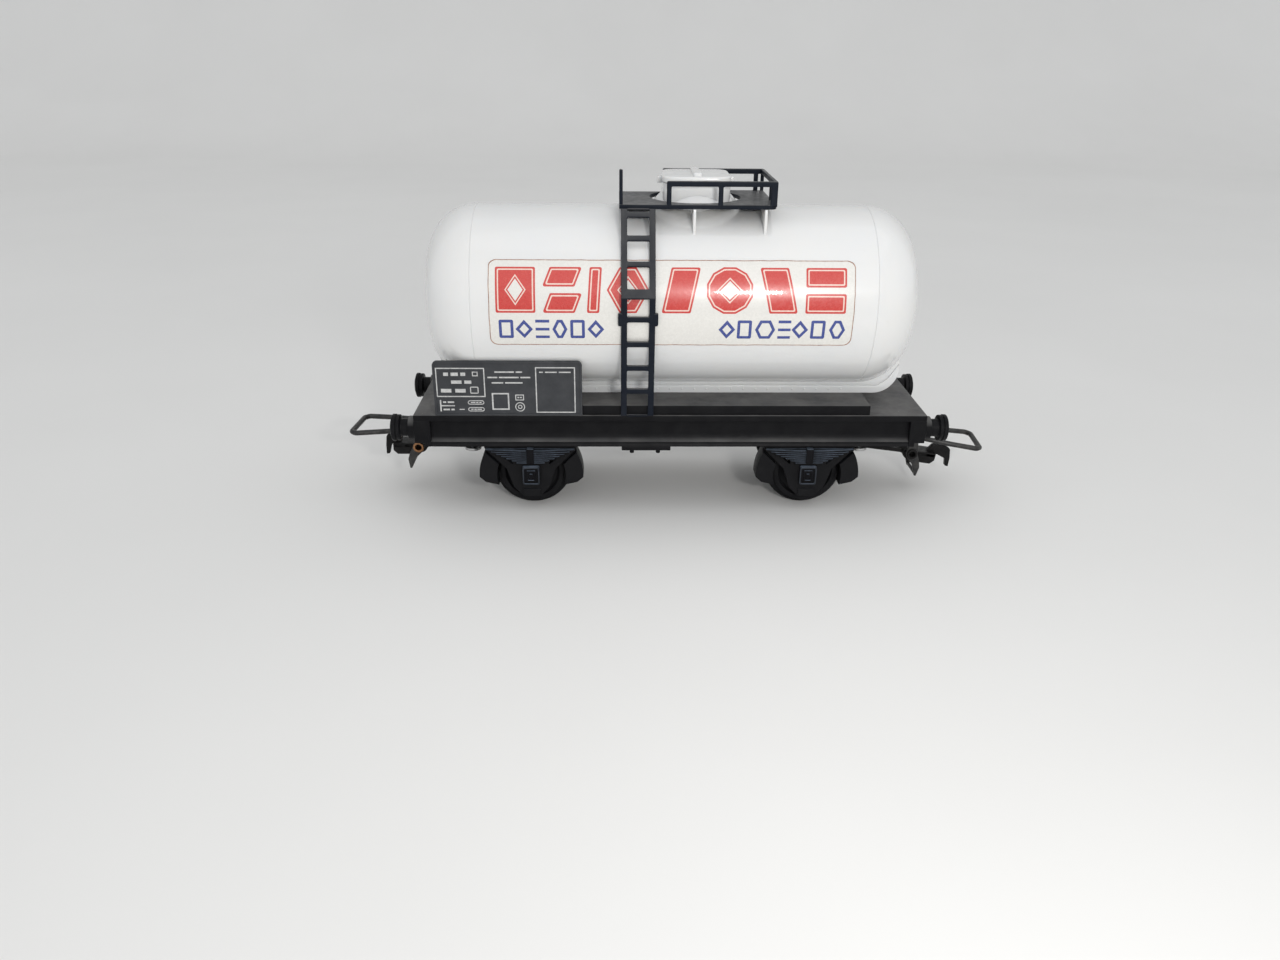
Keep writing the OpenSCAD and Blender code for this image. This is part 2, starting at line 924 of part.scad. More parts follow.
// Wheel on the near side: flange inside, tread outside, dished web
module wheel() {
  y_in = -wheel_y;
  y_out = -wheel_y - wheel_w;
  difference() {
    union() {
      rod_y(0, axle_z, y_in - flange_t, y_in, flange_r);
      rod_y(0, axle_z, y_out, y_in, tread_r);
    }
    rod_y(0, axle_z, y_out - 1, y_in + 1, axle_d / 2 + slip);
    difference() {
      rod_y(0, axle_z, y_out - 1, y_out + web_gap, tread_r - tyre_w);
      rod_y(0, axle_z, y_out - 2, y_out + 2, hub_r);
    }
    difference() {
      rod_y(0, axle_z, y_in - web_gap, y_in + 1, tread_r - tyre_w);
      rod_y(0, axle_z, y_in - 2, y_in + 2, hub_r);
    }
  }
}

module axle_left() {
  color([0.6, 0.6, 0.62])
    translate([-axle_x, 0, 0])
      axle_rod();
}

module axle_right() {
  color([0.6, 0.6, 0.62])
    translate([axle_x, 0, 0])
      axle_rod();
}

module wheel_right_near() {
  color([0.08, 0.08, 0.09])
    translate([axle_x, 0, 0])
      wheel();
}

module wheel_right_far() {
  mirror([0, 1, 0])
    wheel_right_near();
}

module wheel_left_near() {
  mirror([1, 0, 0])
    wheel_right_near();
}

module wheel_left_far() {
  mirror([1, 0, 0])
    wheel_right_far();
}

// ---------- buffers ----------

module buffer_right_near() {
  x0 = half_l - spigot_l;
  color([0.08, 0.08, 0.09])
    translate([0, -buffer_gap / 2, buffer_z])
      rotate([0, 90, 0]) {
        translate([0, 0, x0])
          cylinder(h = spigot_l + collar_t + 0.5, r = spigot_r);
        translate([0, 0, half_l + collar_t])
          cylinder(h = buffer_x - half_l - collar_t - head_t + 0.1, r = shank_d / 2);
        intersection() {
          translate([0, 0, buffer_x - head_t])
            cylinder(h = head_t, r = buffer_d / 2);
          translate([0, 0, buffer_x - head_dome_r])
            sphere(r = head_dome_r, $fn = 96);
        }
      }
}

module buffer_right_far() {
  mirror([0, 1, 0])
    buffer_right_near();
}

module buffer_left_near() {
  mirror([1, 0, 0])
    buffer_right_near();
}

module buffer_left_far() {
  mirror([1, 0, 0])
    buffer_right_far();
}

// ---------- couplings, local origin on the pivot at the top of the bar ----------

// Bar, eye plates and hook; the hook reaches as far as its length says
module drawbar(hook) {
  difference() {
    union() {
      translate([0, 0, -bar_t])
        cylinder(h = bar_t, r = 1.9);
      span([0, -1.5, -bar_t], [body_x0 + 1, 1.5, 0]);
      span([body_x0, -body_y, -bar_t], [body_x1, body_y, 0]);
      both_y()
        plate_xz(-body_y, -body_y + body_wall) {
          translate([eye_x, eye_dz])
            circle(r = eye_r, $fn = 48);
          polygon([[eye_x, 0], [eye_x, -body_h], [body_x1 - 0.8, -body_h],
            [body_x1, -body_h + 0.8], [body_x1, 0]]);
        }
      translate([body_x1, 0, 0])
        plate_xz(-0.6, 0.6)
          polygon([[-2, -bar_t], [-0.6, 1.3], [0.35 * hook, 1.9], [0.85 * hook, 1], [0.97 * hook, -0.9],
            [hook, -2.75], [hook - 0.65, -2.65], [hook - 1, -1.2], [0.2 * hook, -0.5], [-1, -bar_t]]);
    }
    translate([0, 0, -bar_t - 1])
      cylinder(h = bar_t + 2, r = rivet_r + rivet_gap);
    rod_y(eye_x, eye_dz, -body_y - 1, body_y + 1, pin_r + slip);
  }
}

// Two short eyelets, one through the plates on each side
module loop_pin() {
  y0 = body_y - body_wall - pin_head_t / 2;
  y1 = lever_y0 + lever_t + 0.1;
  both_y()
    difference() {
      union() {
        rod_y(eye_x, eye_dz, -y1, -y0, pin_r);
        rod_y(eye_x, eye_dz, -y1 - pin_head_t, -y1, pin_head_r);
      }
      rod_y(eye_x, eye_dz, -y1 - 1, -y0 + 1, pin_bore_r);
    }
}

// Lifting lever: side plates with the tail, tail bar, and the open loop with one corner further out
module loop_lever(cut) {
  yl = lever_y0 + lever_t / 2;
  ring = [[eye_x - 0.5, yl], [16.5, 3.9], [22.6 - cut, 4.75], [23.5 - cut, 3.9], [22.8 - cut, -3.75],
    [21.9 - cut, -4.6], [16.9, -4.1], [eye_x - 0.5, -yl]];
  both_y()
    difference() {
      plate_xz(-lever_y0 - lever_t, -lever_y0) {
        translate([eye_x, eye_dz])
          circle(r = 1.3, $fn = 48);
        translate([eye_x, 0])
          polygon([[-0.6, eye_dz], [-0.6, loop_dz], [0.6, loop_dz], [1.1, eye_dz]]);
        translate([eye_x, 0])
          polygon([[-0.9, eye_dz], [0.4, -1.9], [0.7, -2.6], [1.65, -tail_dz], [2, -tail_dz],
            [2.25, -2.9], [1.9, -1.7], [1, eye_dz]]);
      }
      rod_y(eye_x, eye_dz, -lever_y0 - lever_t - 1, -lever_y0 + 1, pin_r + pin_gap);
    }
  translate([0, 0, loop_dz - wire_d / 2])
    linear_extrude(height = wire_d)
      for (i = [0 : len(ring) - 2])
        strip(ring[i], ring[i + 1], wire_d);
  span([eye_x + 1.5, -yl, -4.6], [eye_x + 2, yl, -4]);
}

// Places a right-hand coupling piece
module at_right() {
  translate([pivot_x, 0, bar_z])
    rotate([0, droop, 0])
      children();
}

// Places a left-hand coupling piece
module at_left() {
  translate([-pivot_x, 0, bar_z])
    rotate([0, 0, 180])
      children();
}

module drawbar_left() {
  color([0.14, 0.14, 0.15])
    at_left()
      drawbar(hook_len - hook_cut);
}

module drawbar_right() {
  color([0.14, 0.14, 0.15])
    at_right()
      drawbar(hook_len);
}

module coupling_loop_left() {
  color([0.2, 0.2, 0.21])
    at_left()
      loop_lever(loop_cut);
}

module coupling_loop_right() {
  color([0.2, 0.2, 0.21])
    at_right()
      loop_lever(0);
}

module loop_pin_left() {
  color([0.6, 0.38, 0.2])
    at_left()
      loop_pin();
}

module loop_pin_right() {
  color([0.14, 0.14, 0.15])
    at_right()
      loop_pin();
}

// ---------- output ----------

underframe();
tank_barrel();
tank_end_left();
tank_end_right();
tank_cradle();
tank_screws();
manhole_dome();
manhole_lid();
lid_strap();
walkway();
railing();
grab_post();
ladder();
ladder_clip();
data_plate();
gear_left();
gear_right();
spring_left_near();
spring_left_far();
spring_right_near();
spring_right_far();
axle_box_left_near();
axle_box_left_far();
axle_box_right_near();
axle_box_right_far();
shoe_left_near_outer();
shoe_left_near_inner();
shoe_left_far_outer();
shoe_left_far_inner();
shoe_right_near_outer();
shoe_right_near_inner();
shoe_right_far_outer();
shoe_right_far_inner();
buffer_left_near();
buffer_left_far();
buffer_right_near();
buffer_right_far();
axle_left();
axle_right();
wheel_left_near();
wheel_left_far();
wheel_right_near();
wheel_right_far();
drawbar_left();
drawbar_right();
coupling_loop_left();
coupling_loop_right();
loop_pin_left();
loop_pin_right();
coupling_rivets();
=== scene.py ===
"""Looks of a model tank wagon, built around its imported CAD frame. Lengths in here are millimetres."""
import json
import math
import random

import bmesh
import bpy
from mathutils import Matrix, Vector


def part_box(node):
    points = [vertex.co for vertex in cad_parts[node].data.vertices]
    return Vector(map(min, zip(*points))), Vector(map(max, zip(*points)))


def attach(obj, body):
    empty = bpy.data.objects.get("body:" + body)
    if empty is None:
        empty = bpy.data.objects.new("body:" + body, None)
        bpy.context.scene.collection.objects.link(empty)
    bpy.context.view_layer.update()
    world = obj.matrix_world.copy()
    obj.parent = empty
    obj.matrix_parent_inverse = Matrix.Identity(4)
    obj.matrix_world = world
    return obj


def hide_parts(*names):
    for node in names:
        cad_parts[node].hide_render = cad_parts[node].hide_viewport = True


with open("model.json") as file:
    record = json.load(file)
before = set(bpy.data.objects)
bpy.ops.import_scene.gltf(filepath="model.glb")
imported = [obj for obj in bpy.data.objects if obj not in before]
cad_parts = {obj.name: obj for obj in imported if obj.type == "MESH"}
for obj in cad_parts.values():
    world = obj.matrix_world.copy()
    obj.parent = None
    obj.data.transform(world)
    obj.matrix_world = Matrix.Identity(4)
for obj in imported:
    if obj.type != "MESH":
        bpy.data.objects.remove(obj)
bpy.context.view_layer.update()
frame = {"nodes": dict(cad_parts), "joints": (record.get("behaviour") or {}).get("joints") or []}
MM = 0.001
random.seed(7)


# ---------- frame sizes

def box(node):
    """Lowest and highest corner of a CAD node, in millimetres."""
    lo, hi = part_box(node)
    return lo / MM, hi / MM


deck_hi = box("underframe")[1]
barrel_lo, barrel_hi = box("tank_barrel")
end_hi = box("tank_end_right")[1]
cradle_hi = box("tank_cradle")[1]
dome_lo, dome_hi = box("manhole_dome")
lid_lo, lid_hi = box("manhole_lid")
strap_lo, strap_hi = box("lid_strap")
walk_lo, walk_hi = box("walkway")
rail_lo, rail_hi = box("railing")
grab_lo, grab_hi = box("grab_post")
plate_lo, plate_hi = box("data_plate")
buffer_lo, buffer_hi = box("buffer_right_far")

# Sizes inside the nodes, which their boxes don't show
TANK_WALL = 1.2
SEAM = 0.09
CORNER_R = 9.0
PLINTH_H = 1.8
DECK_T = 1.2
SOLE_DROP = 6.1
COLLAR_L = 1.3
GUARD_Y = -12.3

TANK_R = (barrel_hi.y - barrel_lo.y) / 2
TANK_Z = barrel_lo.z + TANK_R
BARREL_X = barrel_hi.x
TANK_END_X = end_hi.x
PLINTH_Z = deck_hi.z
DECK_Z = PLINTH_Z - PLINTH_H
UNDER_Z = DECK_Z - DECK_T
SOLE_Z = DECK_Z - SOLE_DROP
HALF_W = deck_hi.y
HALF_L = deck_hi.x - COLLAR_L
BUFFER_Y = (buffer_lo.y + buffer_hi.y) / 2
BUFFER_Z = (buffer_lo.z + buffer_hi.z) / 2
HATCH = Vector(((dome_lo.x + dome_hi.x) / 2, (dome_lo.y + dome_hi.y) / 2, 0))

joints = {j["name"]: j for j in frame["joints"]}
WHEEL_X, _, WHEEL_Z = (v / MM for v in joints["wheels_right_turn"]["pos_m"])
PIVOT_X, _, BAR_Z = (v / MM for v in joints["coupling_right_swing"]["pos_m"])
EYE_X, _, EYE_Z = (v / MM for v in joints["loop_left_lift"]["pos_m"])
EYE = Vector((-EYE_X - PIVOT_X, 0, EYE_Z - BAR_Z))
DROOP = math.radians(8.5)


# ---------- outlines

def rounded(corners, radius, steps=5, closed=True):
    """Outline through the corners, each turned into an arc. radius is one for all or a list."""
    n = len(corners)
    radii = [radius] * n if isinstance(radius, (int, float)) else list(radius)
    points = []
    for i, corner in enumerate(corners):
        here = Vector(corner)
        if radii[i] <= 0 or (not closed and i in (0, n - 1)):
            points.append(here)
            continue
        back = (Vector(corners[i - 1]) - here).normalized()
        ahead = (Vector(corners[(i + 1) % n]) - here).normalized()
        half = back.angle(ahead) / 2
        if half > math.pi / 2 - 0.01:
            points.append(here)
            continue
        reach = radii[i] / math.tan(half)
        centre = here + (back + ahead).normalized() * (radii[i] / math.sin(half))
        first = here + back * reach - centre
        turn = math.pi - 2 * half
        side = 1 if first.cross(here + ahead * reach - centre) > 0 else -1
        for k in range(steps + 1):
            a = side * turn * k / steps
            points.append(centre + Matrix.Rotation(a, 2) @ first)
    return points


def rectangle(x0, y0, x1, y1):
    return [(x0, y0), (x1, y0), (x1, y1), (x0, y1)]


def regular(x, y, r, n, turn=0.0):
    """Corners of a regular polygon about a point."""
    angles = [turn + math.tau * k / n for k in range(n)]
    return [(x + r * math.cos(a), y + r * math.sin(a)) for a in angles]


def arc(cx, cy, r, a0, a1, steps):
    """Points on a circle from angle a0 to a1, in degrees."""
    turns = [math.radians(a0 + (a1 - a0) * k / steps) for k in range(steps + 1)]
    return [(cx + r * math.cos(a), cy + r * math.sin(a)) for a in turns]


def diamond(x, y, w, h):
    """Rhombus about a point, w and h half its width and height."""
    return [(x - w, y), (x, y - h), (x + w, y), (x, y + h)]


def hexagon(x0, y0, x1, y1, cut):
    """Six-sided figure, pointed left and right; its level sides stop short by cut."""
    mid = (y0 + y1) / 2
    return [(x0 + cut, y0), (x1 - cut, y0), (x1, mid), (x1 - cut, y1), (x0 + cut, y1), (x0, mid)]


def inset(corners, d):
    """A convex outline, anticlockwise, moved inwards by d."""
    n = len(corners)
    lines = []
    for i in range(n):
        a, b = Vector(corners[i]), Vector(corners[(i + 1) % n])
        along = (b - a).normalized()
        lines.append((a + Vector((-along.y, along.x)) * d, along))
    out = []
    for i in range(n):
        (p, u), (q, v) = lines[i - 1], lines[i]
        t = (q - p).cross(v) / u.cross(v)
        out.append(p + u * t)
    return out


# ---------- meshes

def finish_piece(name, mesh, material, replaces=(), angle=35, body="body"):
    """Object from a mesh in millimetres, scaled into the frame, shaded and put on its body."""
    mesh.transform(Matrix.Scale(MM, 4))
    mesh.shade_smooth()
    mesh.set_sharp_from_angle(angle=math.radians(angle))
    obj = bpy.data.objects.new(name, mesh)
    bpy.context.scene.collection.objects.link(obj)
    mesh.materials.clear()
    mesh.materials.append(material)
    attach(obj, body)
    if replaces:
        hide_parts(*([replaces] if isinstance(replaces, str) else replaces))
    return obj


def from_bmesh(bm):
    """Mesh of a bmesh, with its faces turned outwards."""
    bmesh.ops.recalc_face_normals(bm, faces=bm.faces)
    mesh = bpy.data.meshes.new("piece")
    bm.to_mesh(mesh)
    bm.free()
    return mesh


def joined(meshes):
    """One mesh of several."""
    bm = bmesh.new()
    for m in meshes:
        bm.from_mesh(m)
    mesh = bpy.data.meshes.new("piece")
    bm.to_mesh(mesh)
    bm.free()
    return mesh


def lathe(profile, origin=(0, 0, 0), axis="X", segments=96):
    """Surface of revolution of a profile of (radius, distance along the axis) points."""
    bm = bmesh.new()
    rings = []
    for r, d in profile:
        if r < 1e-6:
            rings.append([bm.verts.new((d, 0, 0))])
        else:
            turns = [math.tau * k / segments for k in range(segments)]
            rings.append([bm.verts.new((d, r * math.cos(a), r * math.sin(a))) for a in turns])
    for one, two in zip(rings, rings[1:]):
        for k in range(segments):
            m = (k + 1) % segments
            if len(one) == 1 and len(two) == 1:
                continue
            if len(one) == 1:
                bm.faces.new((one[0], two[k], two[m]))
            elif len(two) == 1:
                bm.faces.new((one[k], one[m], two[0]))
            else:
                bm.faces.new((one[k], one[m], two[m], two[k]))
    turn = {"X": Matrix.Identity(4), "Y": Matrix.Rotation(math.pi / 2, 4, "Z"),
            "Z": Matrix.Rotation(-math.pi / 2, 4, "Y")}[axis]
    bmesh.ops.remove_doubles(bm, verts=bm.verts, dist=1e-5)
    bm.transform(Matrix.Translation(origin) @ turn)
    return from_bmesh(bm)


def slab(outlines, thickness, bevel=0.0, to=Matrix.Identity(4)):
    """Plate from z 0 to thickness: the first outline is its edge, the others its openings."""
    curve = bpy.data.curves.new("outline", "CURVE")
    curve.dimensions = "2D"
    curve.fill_mode = "BOTH"
    curve.extrude = thickness / 2 - bevel
    curve.bevel_depth = bevel
    curve.bevel_resolution = 2
    curve.offset = -bevel
    for outline in outlines:
        spline = curve.splines.new("POLY")
        spline.points.add(len(outline) - 1)
        for point, co in zip(spline.points, outline):
            point.co = (co[0], co[1], 0, 1)
        spline.use_cyclic_u = True
    obj = bpy.data.objects.new("outline", curve)
    bpy.context.scene.collection.objects.link(obj)
    mesh = bpy.data.meshes.new_from_object(obj.evaluated_get(bpy.context.evaluated_depsgraph_get()))
    bpy.data.objects.remove(obj)
    bpy.data.curves.remove(curve)
    bm = bmesh.new()
    bm.from_mesh(mesh)
    bmesh.ops.remove_doubles(bm, verts=bm.verts, dist=1e-4)
    bm.transform(to @ Matrix.Translation((0, 0, thickness / 2)))
    return from_bmesh(bm)


def lifted(z):
    """Takes a slab drawn in (x, y) up to z."""
    return Matrix.Translation((0, 0, z))


def facing_front(y):
    """Takes a slab drawn in (x, z) to the vertical plane at y, its thickness towards -Y."""
    return Matrix.Translation((0, y, 0)) @ Matrix.Rotation(math.pi / 2, 4, "X")


def along_x(x):
    """Takes a slab drawn in (y, z) to the plane at x, its thickness towards +X."""
    return Matrix.Translation((x, 0, 0)) @ Matrix(((0, 0, 1, 0), (1, 0, 0, 0), (0, 1, 0, 0), (0, 0, 0, 1)))


def block(lo, hi, bevel=0.0):
    """Box between two corners with rounded edges."""
    lo, hi = Vector(lo), Vector(hi)
    bm = bmesh.new()
    bmesh.ops.create_cube(bm, size=1)
    size = hi - lo
    bm.transform(Matrix.Translation((lo + hi) / 2) @ Matrix.Diagonal((size.x, size.y, size.z, 1)))
    if bevel:
        bmesh.ops.bevel(bm, geom=list(bm.edges), offset=bevel, segments=3, profile=0.5, affect="EDGES")
    return from_bmesh(bm)


def wire(points, radius, sides=16):
    """Round wire through the points, with rings square to its path and closed ends."""
    path = [Vector(p) for p in points]
    last = len(path) - 1
    turns = [math.tau * k / sides for k in range(sides)]
    bm = bmesh.new()
    rings = []
    up = Vector((0, 0, 1))
    for i, centre in enumerate(path):
        along = (path[min(i + 1, last)] - path[max(i - 1, 0)]).normalized()
        side = along.cross(up).normalized()
        up = side.cross(along).normalized()
        ring = [centre + radius * (side * math.cos(a) + up * math.sin(a)) for a in turns]
        rings.append([bm.verts.new(point) for point in ring])
    for one, two in zip(rings, rings[1:]):
        for k in range(sides):
            m = (k + 1) % sides
            bm.faces.new((one[k], one[m], two[m], two[k]))
    bm.faces.new(rings[0])
    bm.faces.new(rings[-1])
    return from_bmesh(bm)


def placed(mesh, matrix):
    """The mesh, moved; a mirrored one has its faces turned back."""
    mesh.transform(matrix)
    if matrix.determinant() < 0:
        mesh.flip_normals()
    return mesh


def copy_placed(mesh, matrix):
    return placed(mesh.copy(), matrix)


STAY = Matrix.Identity(4)
MIRROR_X = Matrix.Scale(-1, 4, (1, 0, 0))
MIRROR_Y = Matrix.Scale(-1, 4, (0, 1, 0))
ENDS = (("right", STAY), ("left", MIRROR_X))
SIDES = (("near", STAY), ("far", MIRROR_Y))


# ---------- materials

class Nodes:
    """A material's node tree, with short ways to add noise, ramps and mixes."""

    def __init__(self, name):
        self.material = bpy.data.materials.new(name)
        self.material.use_nodes = True
        self.tree = self.material.node_tree
        self.shader = self.tree.nodes["Principled BSDF"]
        self.coord = self.tree.nodes.new("ShaderNodeTexCoord")

    def add(self, kind, **values):
        node = self.tree.nodes.new(kind)
        for key, value in values.items():
            if hasattr(node, key):
                setattr(node, key, value)
            else:
                node.inputs[key.replace("_", " ")].default_value = value
        return node

    def link(self, a, b):
        self.tree.links.new(a, b)

    def noise(self, scale, detail=4.0, roughness=0.55, stretch=None):
        """Noise over the object's own coordinates; scale is in cells per millimetre."""
        node = self.add("ShaderNodeTexNoise", Scale=scale / MM, Detail=detail, Roughness=roughness)
        source = self.coord.outputs["Object"]
        if stretch:
            mapping = self.add("ShaderNodeMapping")
            mapping.inputs["Scale"].default_value = stretch
            self.link(source, mapping.inputs["Vector"])
            source = mapping.outputs["Vector"]
        self.link(source, node.inputs["Vector"])
        return node.outputs["Fac"]

    def ramp(self, source, stops):
        """Colour ramp; stops hold (position, colour) pairs."""
        node = self.add("ShaderNodeValToRGB")
        elements = node.color_ramp.elements
        while len(elements) < len(stops):
            elements.new(0.5)
        for element, (position, colour) in zip(elements, stops):
            element.position = position
            element.color = (*colour, 1)
        self.link(source, node.inputs["Fac"])
        return node.outputs["Color"]

    def level(self, source, low, high, to_low, to_high):
        """Maps low..high of the source to another range."""
        node = self.add("ShaderNodeMapRange")
        for key, value in zip(("From Min", "From Max", "To Min", "To Max"), (low, high, to_low, to_high)):
            node.inputs[key].default_value = value
        self.link(source, node.inputs["Value"])
        return node.outputs["Result"]

    def mix(self, factor, a, b):
        """Colour mix; a and b are sockets or colours."""
        node = self.add("ShaderNodeMix", data_type="RGBA")
        self.link(factor, node.inputs["Factor"])
        for key, value in (("A", a), ("B", b)):
            socket = [s for s in node.inputs if s.name == key and s.type == "RGBA"][0]
            if isinstance(value, tuple):
                socket.default_value = (*value, 1)
            else:
                self.link(value, socket)
        return [s for s in node.outputs if s.type == "RGBA"][0]

    def times(self, a, b):
        node = self.add("ShaderNodeMath", operation="MULTIPLY")
        self.link(a, node.inputs[0])
        self.link(b, node.inputs[1])
        return node.outputs[0]

    def bump(self, height, depth, after=None):
        """Bump of a height field whose full swing is depth millimetres."""
        node = self.add("ShaderNodeBump", Strength=1.0, Distance=depth * MM)
        self.link(height, node.inputs["Height"])
        if after:
            self.link(after, node.inputs["Normal"])
        return node.outputs["Normal"]

    def surface(self, colour, roughness, normal, **constants):
        """Links colour, roughness and normal to the shader and sets its constants; gives the material."""
        for key, source in (("Base Color", colour), ("Roughness", roughness), ("Normal", normal)):
            self.link(source, self.shader.inputs[key])
        for key, value in constants.items():
            self.shader.inputs[key.replace("_", " ")].default_value = value
        return self.material

    def facing_up(self, low=0.4):
        """1 on faces that look up, 0 where the normal's height is under low."""
        geometry = self.add("ShaderNodeNewGeometry")
        split = self.add("ShaderNodeSeparateXYZ")
        self.link(geometry.outputs["Normal"], split.inputs["Vector"])
        return self.level(split.outputs["Z"], low, 0.95, 0.0, 1.0)


def black_plastic(name, dark, light, rough=(0.38, 0.55), dust=0.0, grain=0.012, specular=0.08, painted_sheen=0.0,
                  tilt=0.4):
    """Moulded black plastic: mottled, unevenly glossy, with dust and a painted bluish highlight on what
    faces up.
    """
    n = Nodes(name)
    base = n.ramp(n.noise(0.35), [(0.3, dark), (0.7, light)])
    # painted highlight: a bluish colour painted onto faces that look up, standing in for reflected light
    if painted_sheen:
        painted_sheen_mask = n.times(n.facing_up(), n.level(n.noise(0.5, 3), 0.3, 0.7, 0.4, 1.0))
        base = n.mix(n.level(painted_sheen_mask, 0, 1, 0, painted_sheen), base, (0.27, 0.33, 0.42))
    if dust:
        film = n.times(n.facing_up(tilt), n.level(n.noise(0.16, 6), 0.35, 0.7, 0.5, 1.0))
        film = n.level(film, 0, 1, 0, dust)
        base = n.mix(film, base, (0.30, 0.29, 0.275))
        specks = n.times(n.facing_up(), n.level(n.noise(2.6, 1.5), 0.79, 0.83, 0.0, 0.6))
        base = n.mix(specks, base, (0.55, 0.53, 0.50))
    gloss = n.level(n.noise(0.9, 5), 0.3, 0.7, *rough)
    relief = n.bump(n.noise(6.0, 2), grain, n.bump(n.noise(0.5, 3), grain * 2.5))
    return n.surface(base, gloss, relief, Specular_IOR_Level=specular)


def white_plastic(name, cool, warm, rough, depth):
    """Glossy white plastic, a little translucent, with a faint colour drift and moulding waves."""
    n = Nodes(name)
    base = n.ramp(n.noise(0.045, 3), [(0.35, cool), (0.7, warm)])
    grime = n.level(n.noise(0.55, 7, 0.7), 0.60, 0.80, 0.0, 0.10)
    base = n.mix(grime, base, (0.52, 0.47, 0.38))
    gloss = n.level(n.noise(0.3, 5), 0.3, 0.7, *rough)
    relief = n.bump(n.noise(0.22, 2), depth, n.bump(n.noise(5.0, 2), 0.002))
    return n.surface(base, gloss, relief, Subsurface_Weight=0.12, Subsurface_Radius=(0.0012, 0.0010, 0.0008),
                     Subsurface_Scale=1.0, Coat_Weight=0.8, Coat_Roughness=0.05)


def ink(name, colour, worn, wear=0.12, rough=(0.2, 0.34)):
    """Printed ink: slightly uneven, worn thin in small spots."""
    n = Nodes(name)
    patches = n.level(n.noise(1.1, 6, 0.7), 0.42, 0.72, 0.0, wear * 3)
    base = n.mix(patches, colour, worn)
    gloss = n.level(n.noise(1.7, 4), 0.3, 0.7, *rough)
    return n.surface(base, gloss, n.bump(n.noise(3.0, 3), 0.004), Coat_Weight=0.8, Coat_Roughness=0.05)


def metal(name, dark, light, rough=(0.25, 0.45), metallic=1.0):
    """Turned or plated metal with tarnish patches and fine scratches."""
    n = Nodes(name)
    base = n.ramp(n.noise(0.8, 6), [(0.3, dark), (0.7, light)])
    gloss = n.level(n.noise(2.2, 5), 0.3, 0.7, *rough)
    return n.surface(base, gloss, n.bump(n.noise(5.0, 4, stretch=(1, 6, 1)), 0.004), Metallic=metallic)


WHITE = white_plastic("white_tank_plastic", (0.745, 0.75, 0.75), (0.765, 0.76, 0.745), (0.16, 0.26), 0.02)
LABEL = ink("cream_label_film", (0.745, 0.73, 0.69), (0.765, 0.745, 0.715), 0.12)
BROWN = ink("brown_border_ink", (0.24, 0.09, 0.05), (0.55, 0.36, 0.25), 0.3)
RED = ink("red_ink", (0.56, 0.030, 0.022), (0.64, 0.10, 0.07), 0.10)
PALE = ink("pale_inline_ink", (0.82, 0.60, 0.52), (0.85, 0.75, 0.68), 0.2)
BLUE = ink("blue_ink", (0.022, 0.045, 0.24), (0.06, 0.10, 0.34), 0.12)
# In these black materials, the bluish tint on faces that look up is a painted highlight; the warm grey film
# with specks is dust.
BLACK = black_plastic("black_chassis_plastic", (0.006, 0.006, 0.007), (0.010, 0.010, 0.011),
                      dust=0.42, painted_sheen=0.06)
GEAR = black_plastic("black_gear_plastic", (0.008, 0.008, 0.009), (0.011, 0.011, 0.012), (0.36, 0.5),
                     painted_sheen=0.05)
# Spring and axle box plastic: the strong bluish tint on edges that face up is a painted highlight, standing
# in for light caught by the leaf edges.
LEAF = black_plastic("black_spring_plastic", (0.004, 0.004, 0.005), (0.008, 0.008, 0.010), (0.3, 0.45),
                     painted_sheen=0.75)
# Axle box rim: a lighter bluish-grey colour with a painted highlight, standing in for light caught by the
# raised frame's edges.
PAINTED_HIGHLIGHT_RIM = black_plastic("rim_painted_highlight_plastic", (0.020, 0.023, 0.028), (0.055, 0.062, 0.075), (0.3, 0.45), painted_sheen=0.5)
RAIL = black_plastic("black_walkway_plastic", (0.008, 0.011, 0.018), (0.014, 0.017, 0.024), (0.32, 0.5),
                     dust=0.42, painted_sheen=0.05, tilt=0.1)
PLATE = black_plastic("grey_plate_plastic", (0.030, 0.032, 0.036), (0.046, 0.048, 0.053), (0.42, 0.58),
                      grain=0.018, specular=0.3)
PRINT = ink("white_plate_print", (0.55, 0.55, 0.54), (0.25, 0.25, 0.26), 0.25, (0.4, 0.6))
WHEEL = black_plastic("black_wheel_plastic", (0.006, 0.006, 0.007), (0.012, 0.012, 0.013), (0.3, 0.48))
STEEL = metal("bright_steel", (0.42, 0.42, 0.43), (0.62, 0.62, 0.61))
COUPLING = black_plastic("blackened_coupling_steel", (0.006, 0.006, 0.006), (0.014, 0.013, 0.013),
                         (0.3, 0.5), specular=0.14)
WIRE = metal("blackened_loop_wire", (0.030, 0.030, 0.031), (0.070, 0.068, 0.066), (0.32, 0.5), 0.7)
COPPER = metal("copper_eyelet", (0.20, 0.095, 0.045), (0.46, 0.25, 0.13), (0.28, 0.45))


# ---------- tank

def end_profile():
    """(radius, x) points over the right-hand tank end, from the barrel seam to the middle."""
    flat = TANK_R - CORNER_R
    rise = TANK_END_X - BARREL_X - CORNER_R
    drop = (flat * flat - rise * rise) / (2 * rise)
    cap_r = CORNER_R + rise + drop
    meet = math.degrees(math.atan2(drop, flat))
    corner = arc(flat, BARREL_X, CORNER_R, 0, meet, 20)
    cap = arc(0, BARREL_X - drop, cap_r, meet, 90, 14)
    return corner + cap[1:]


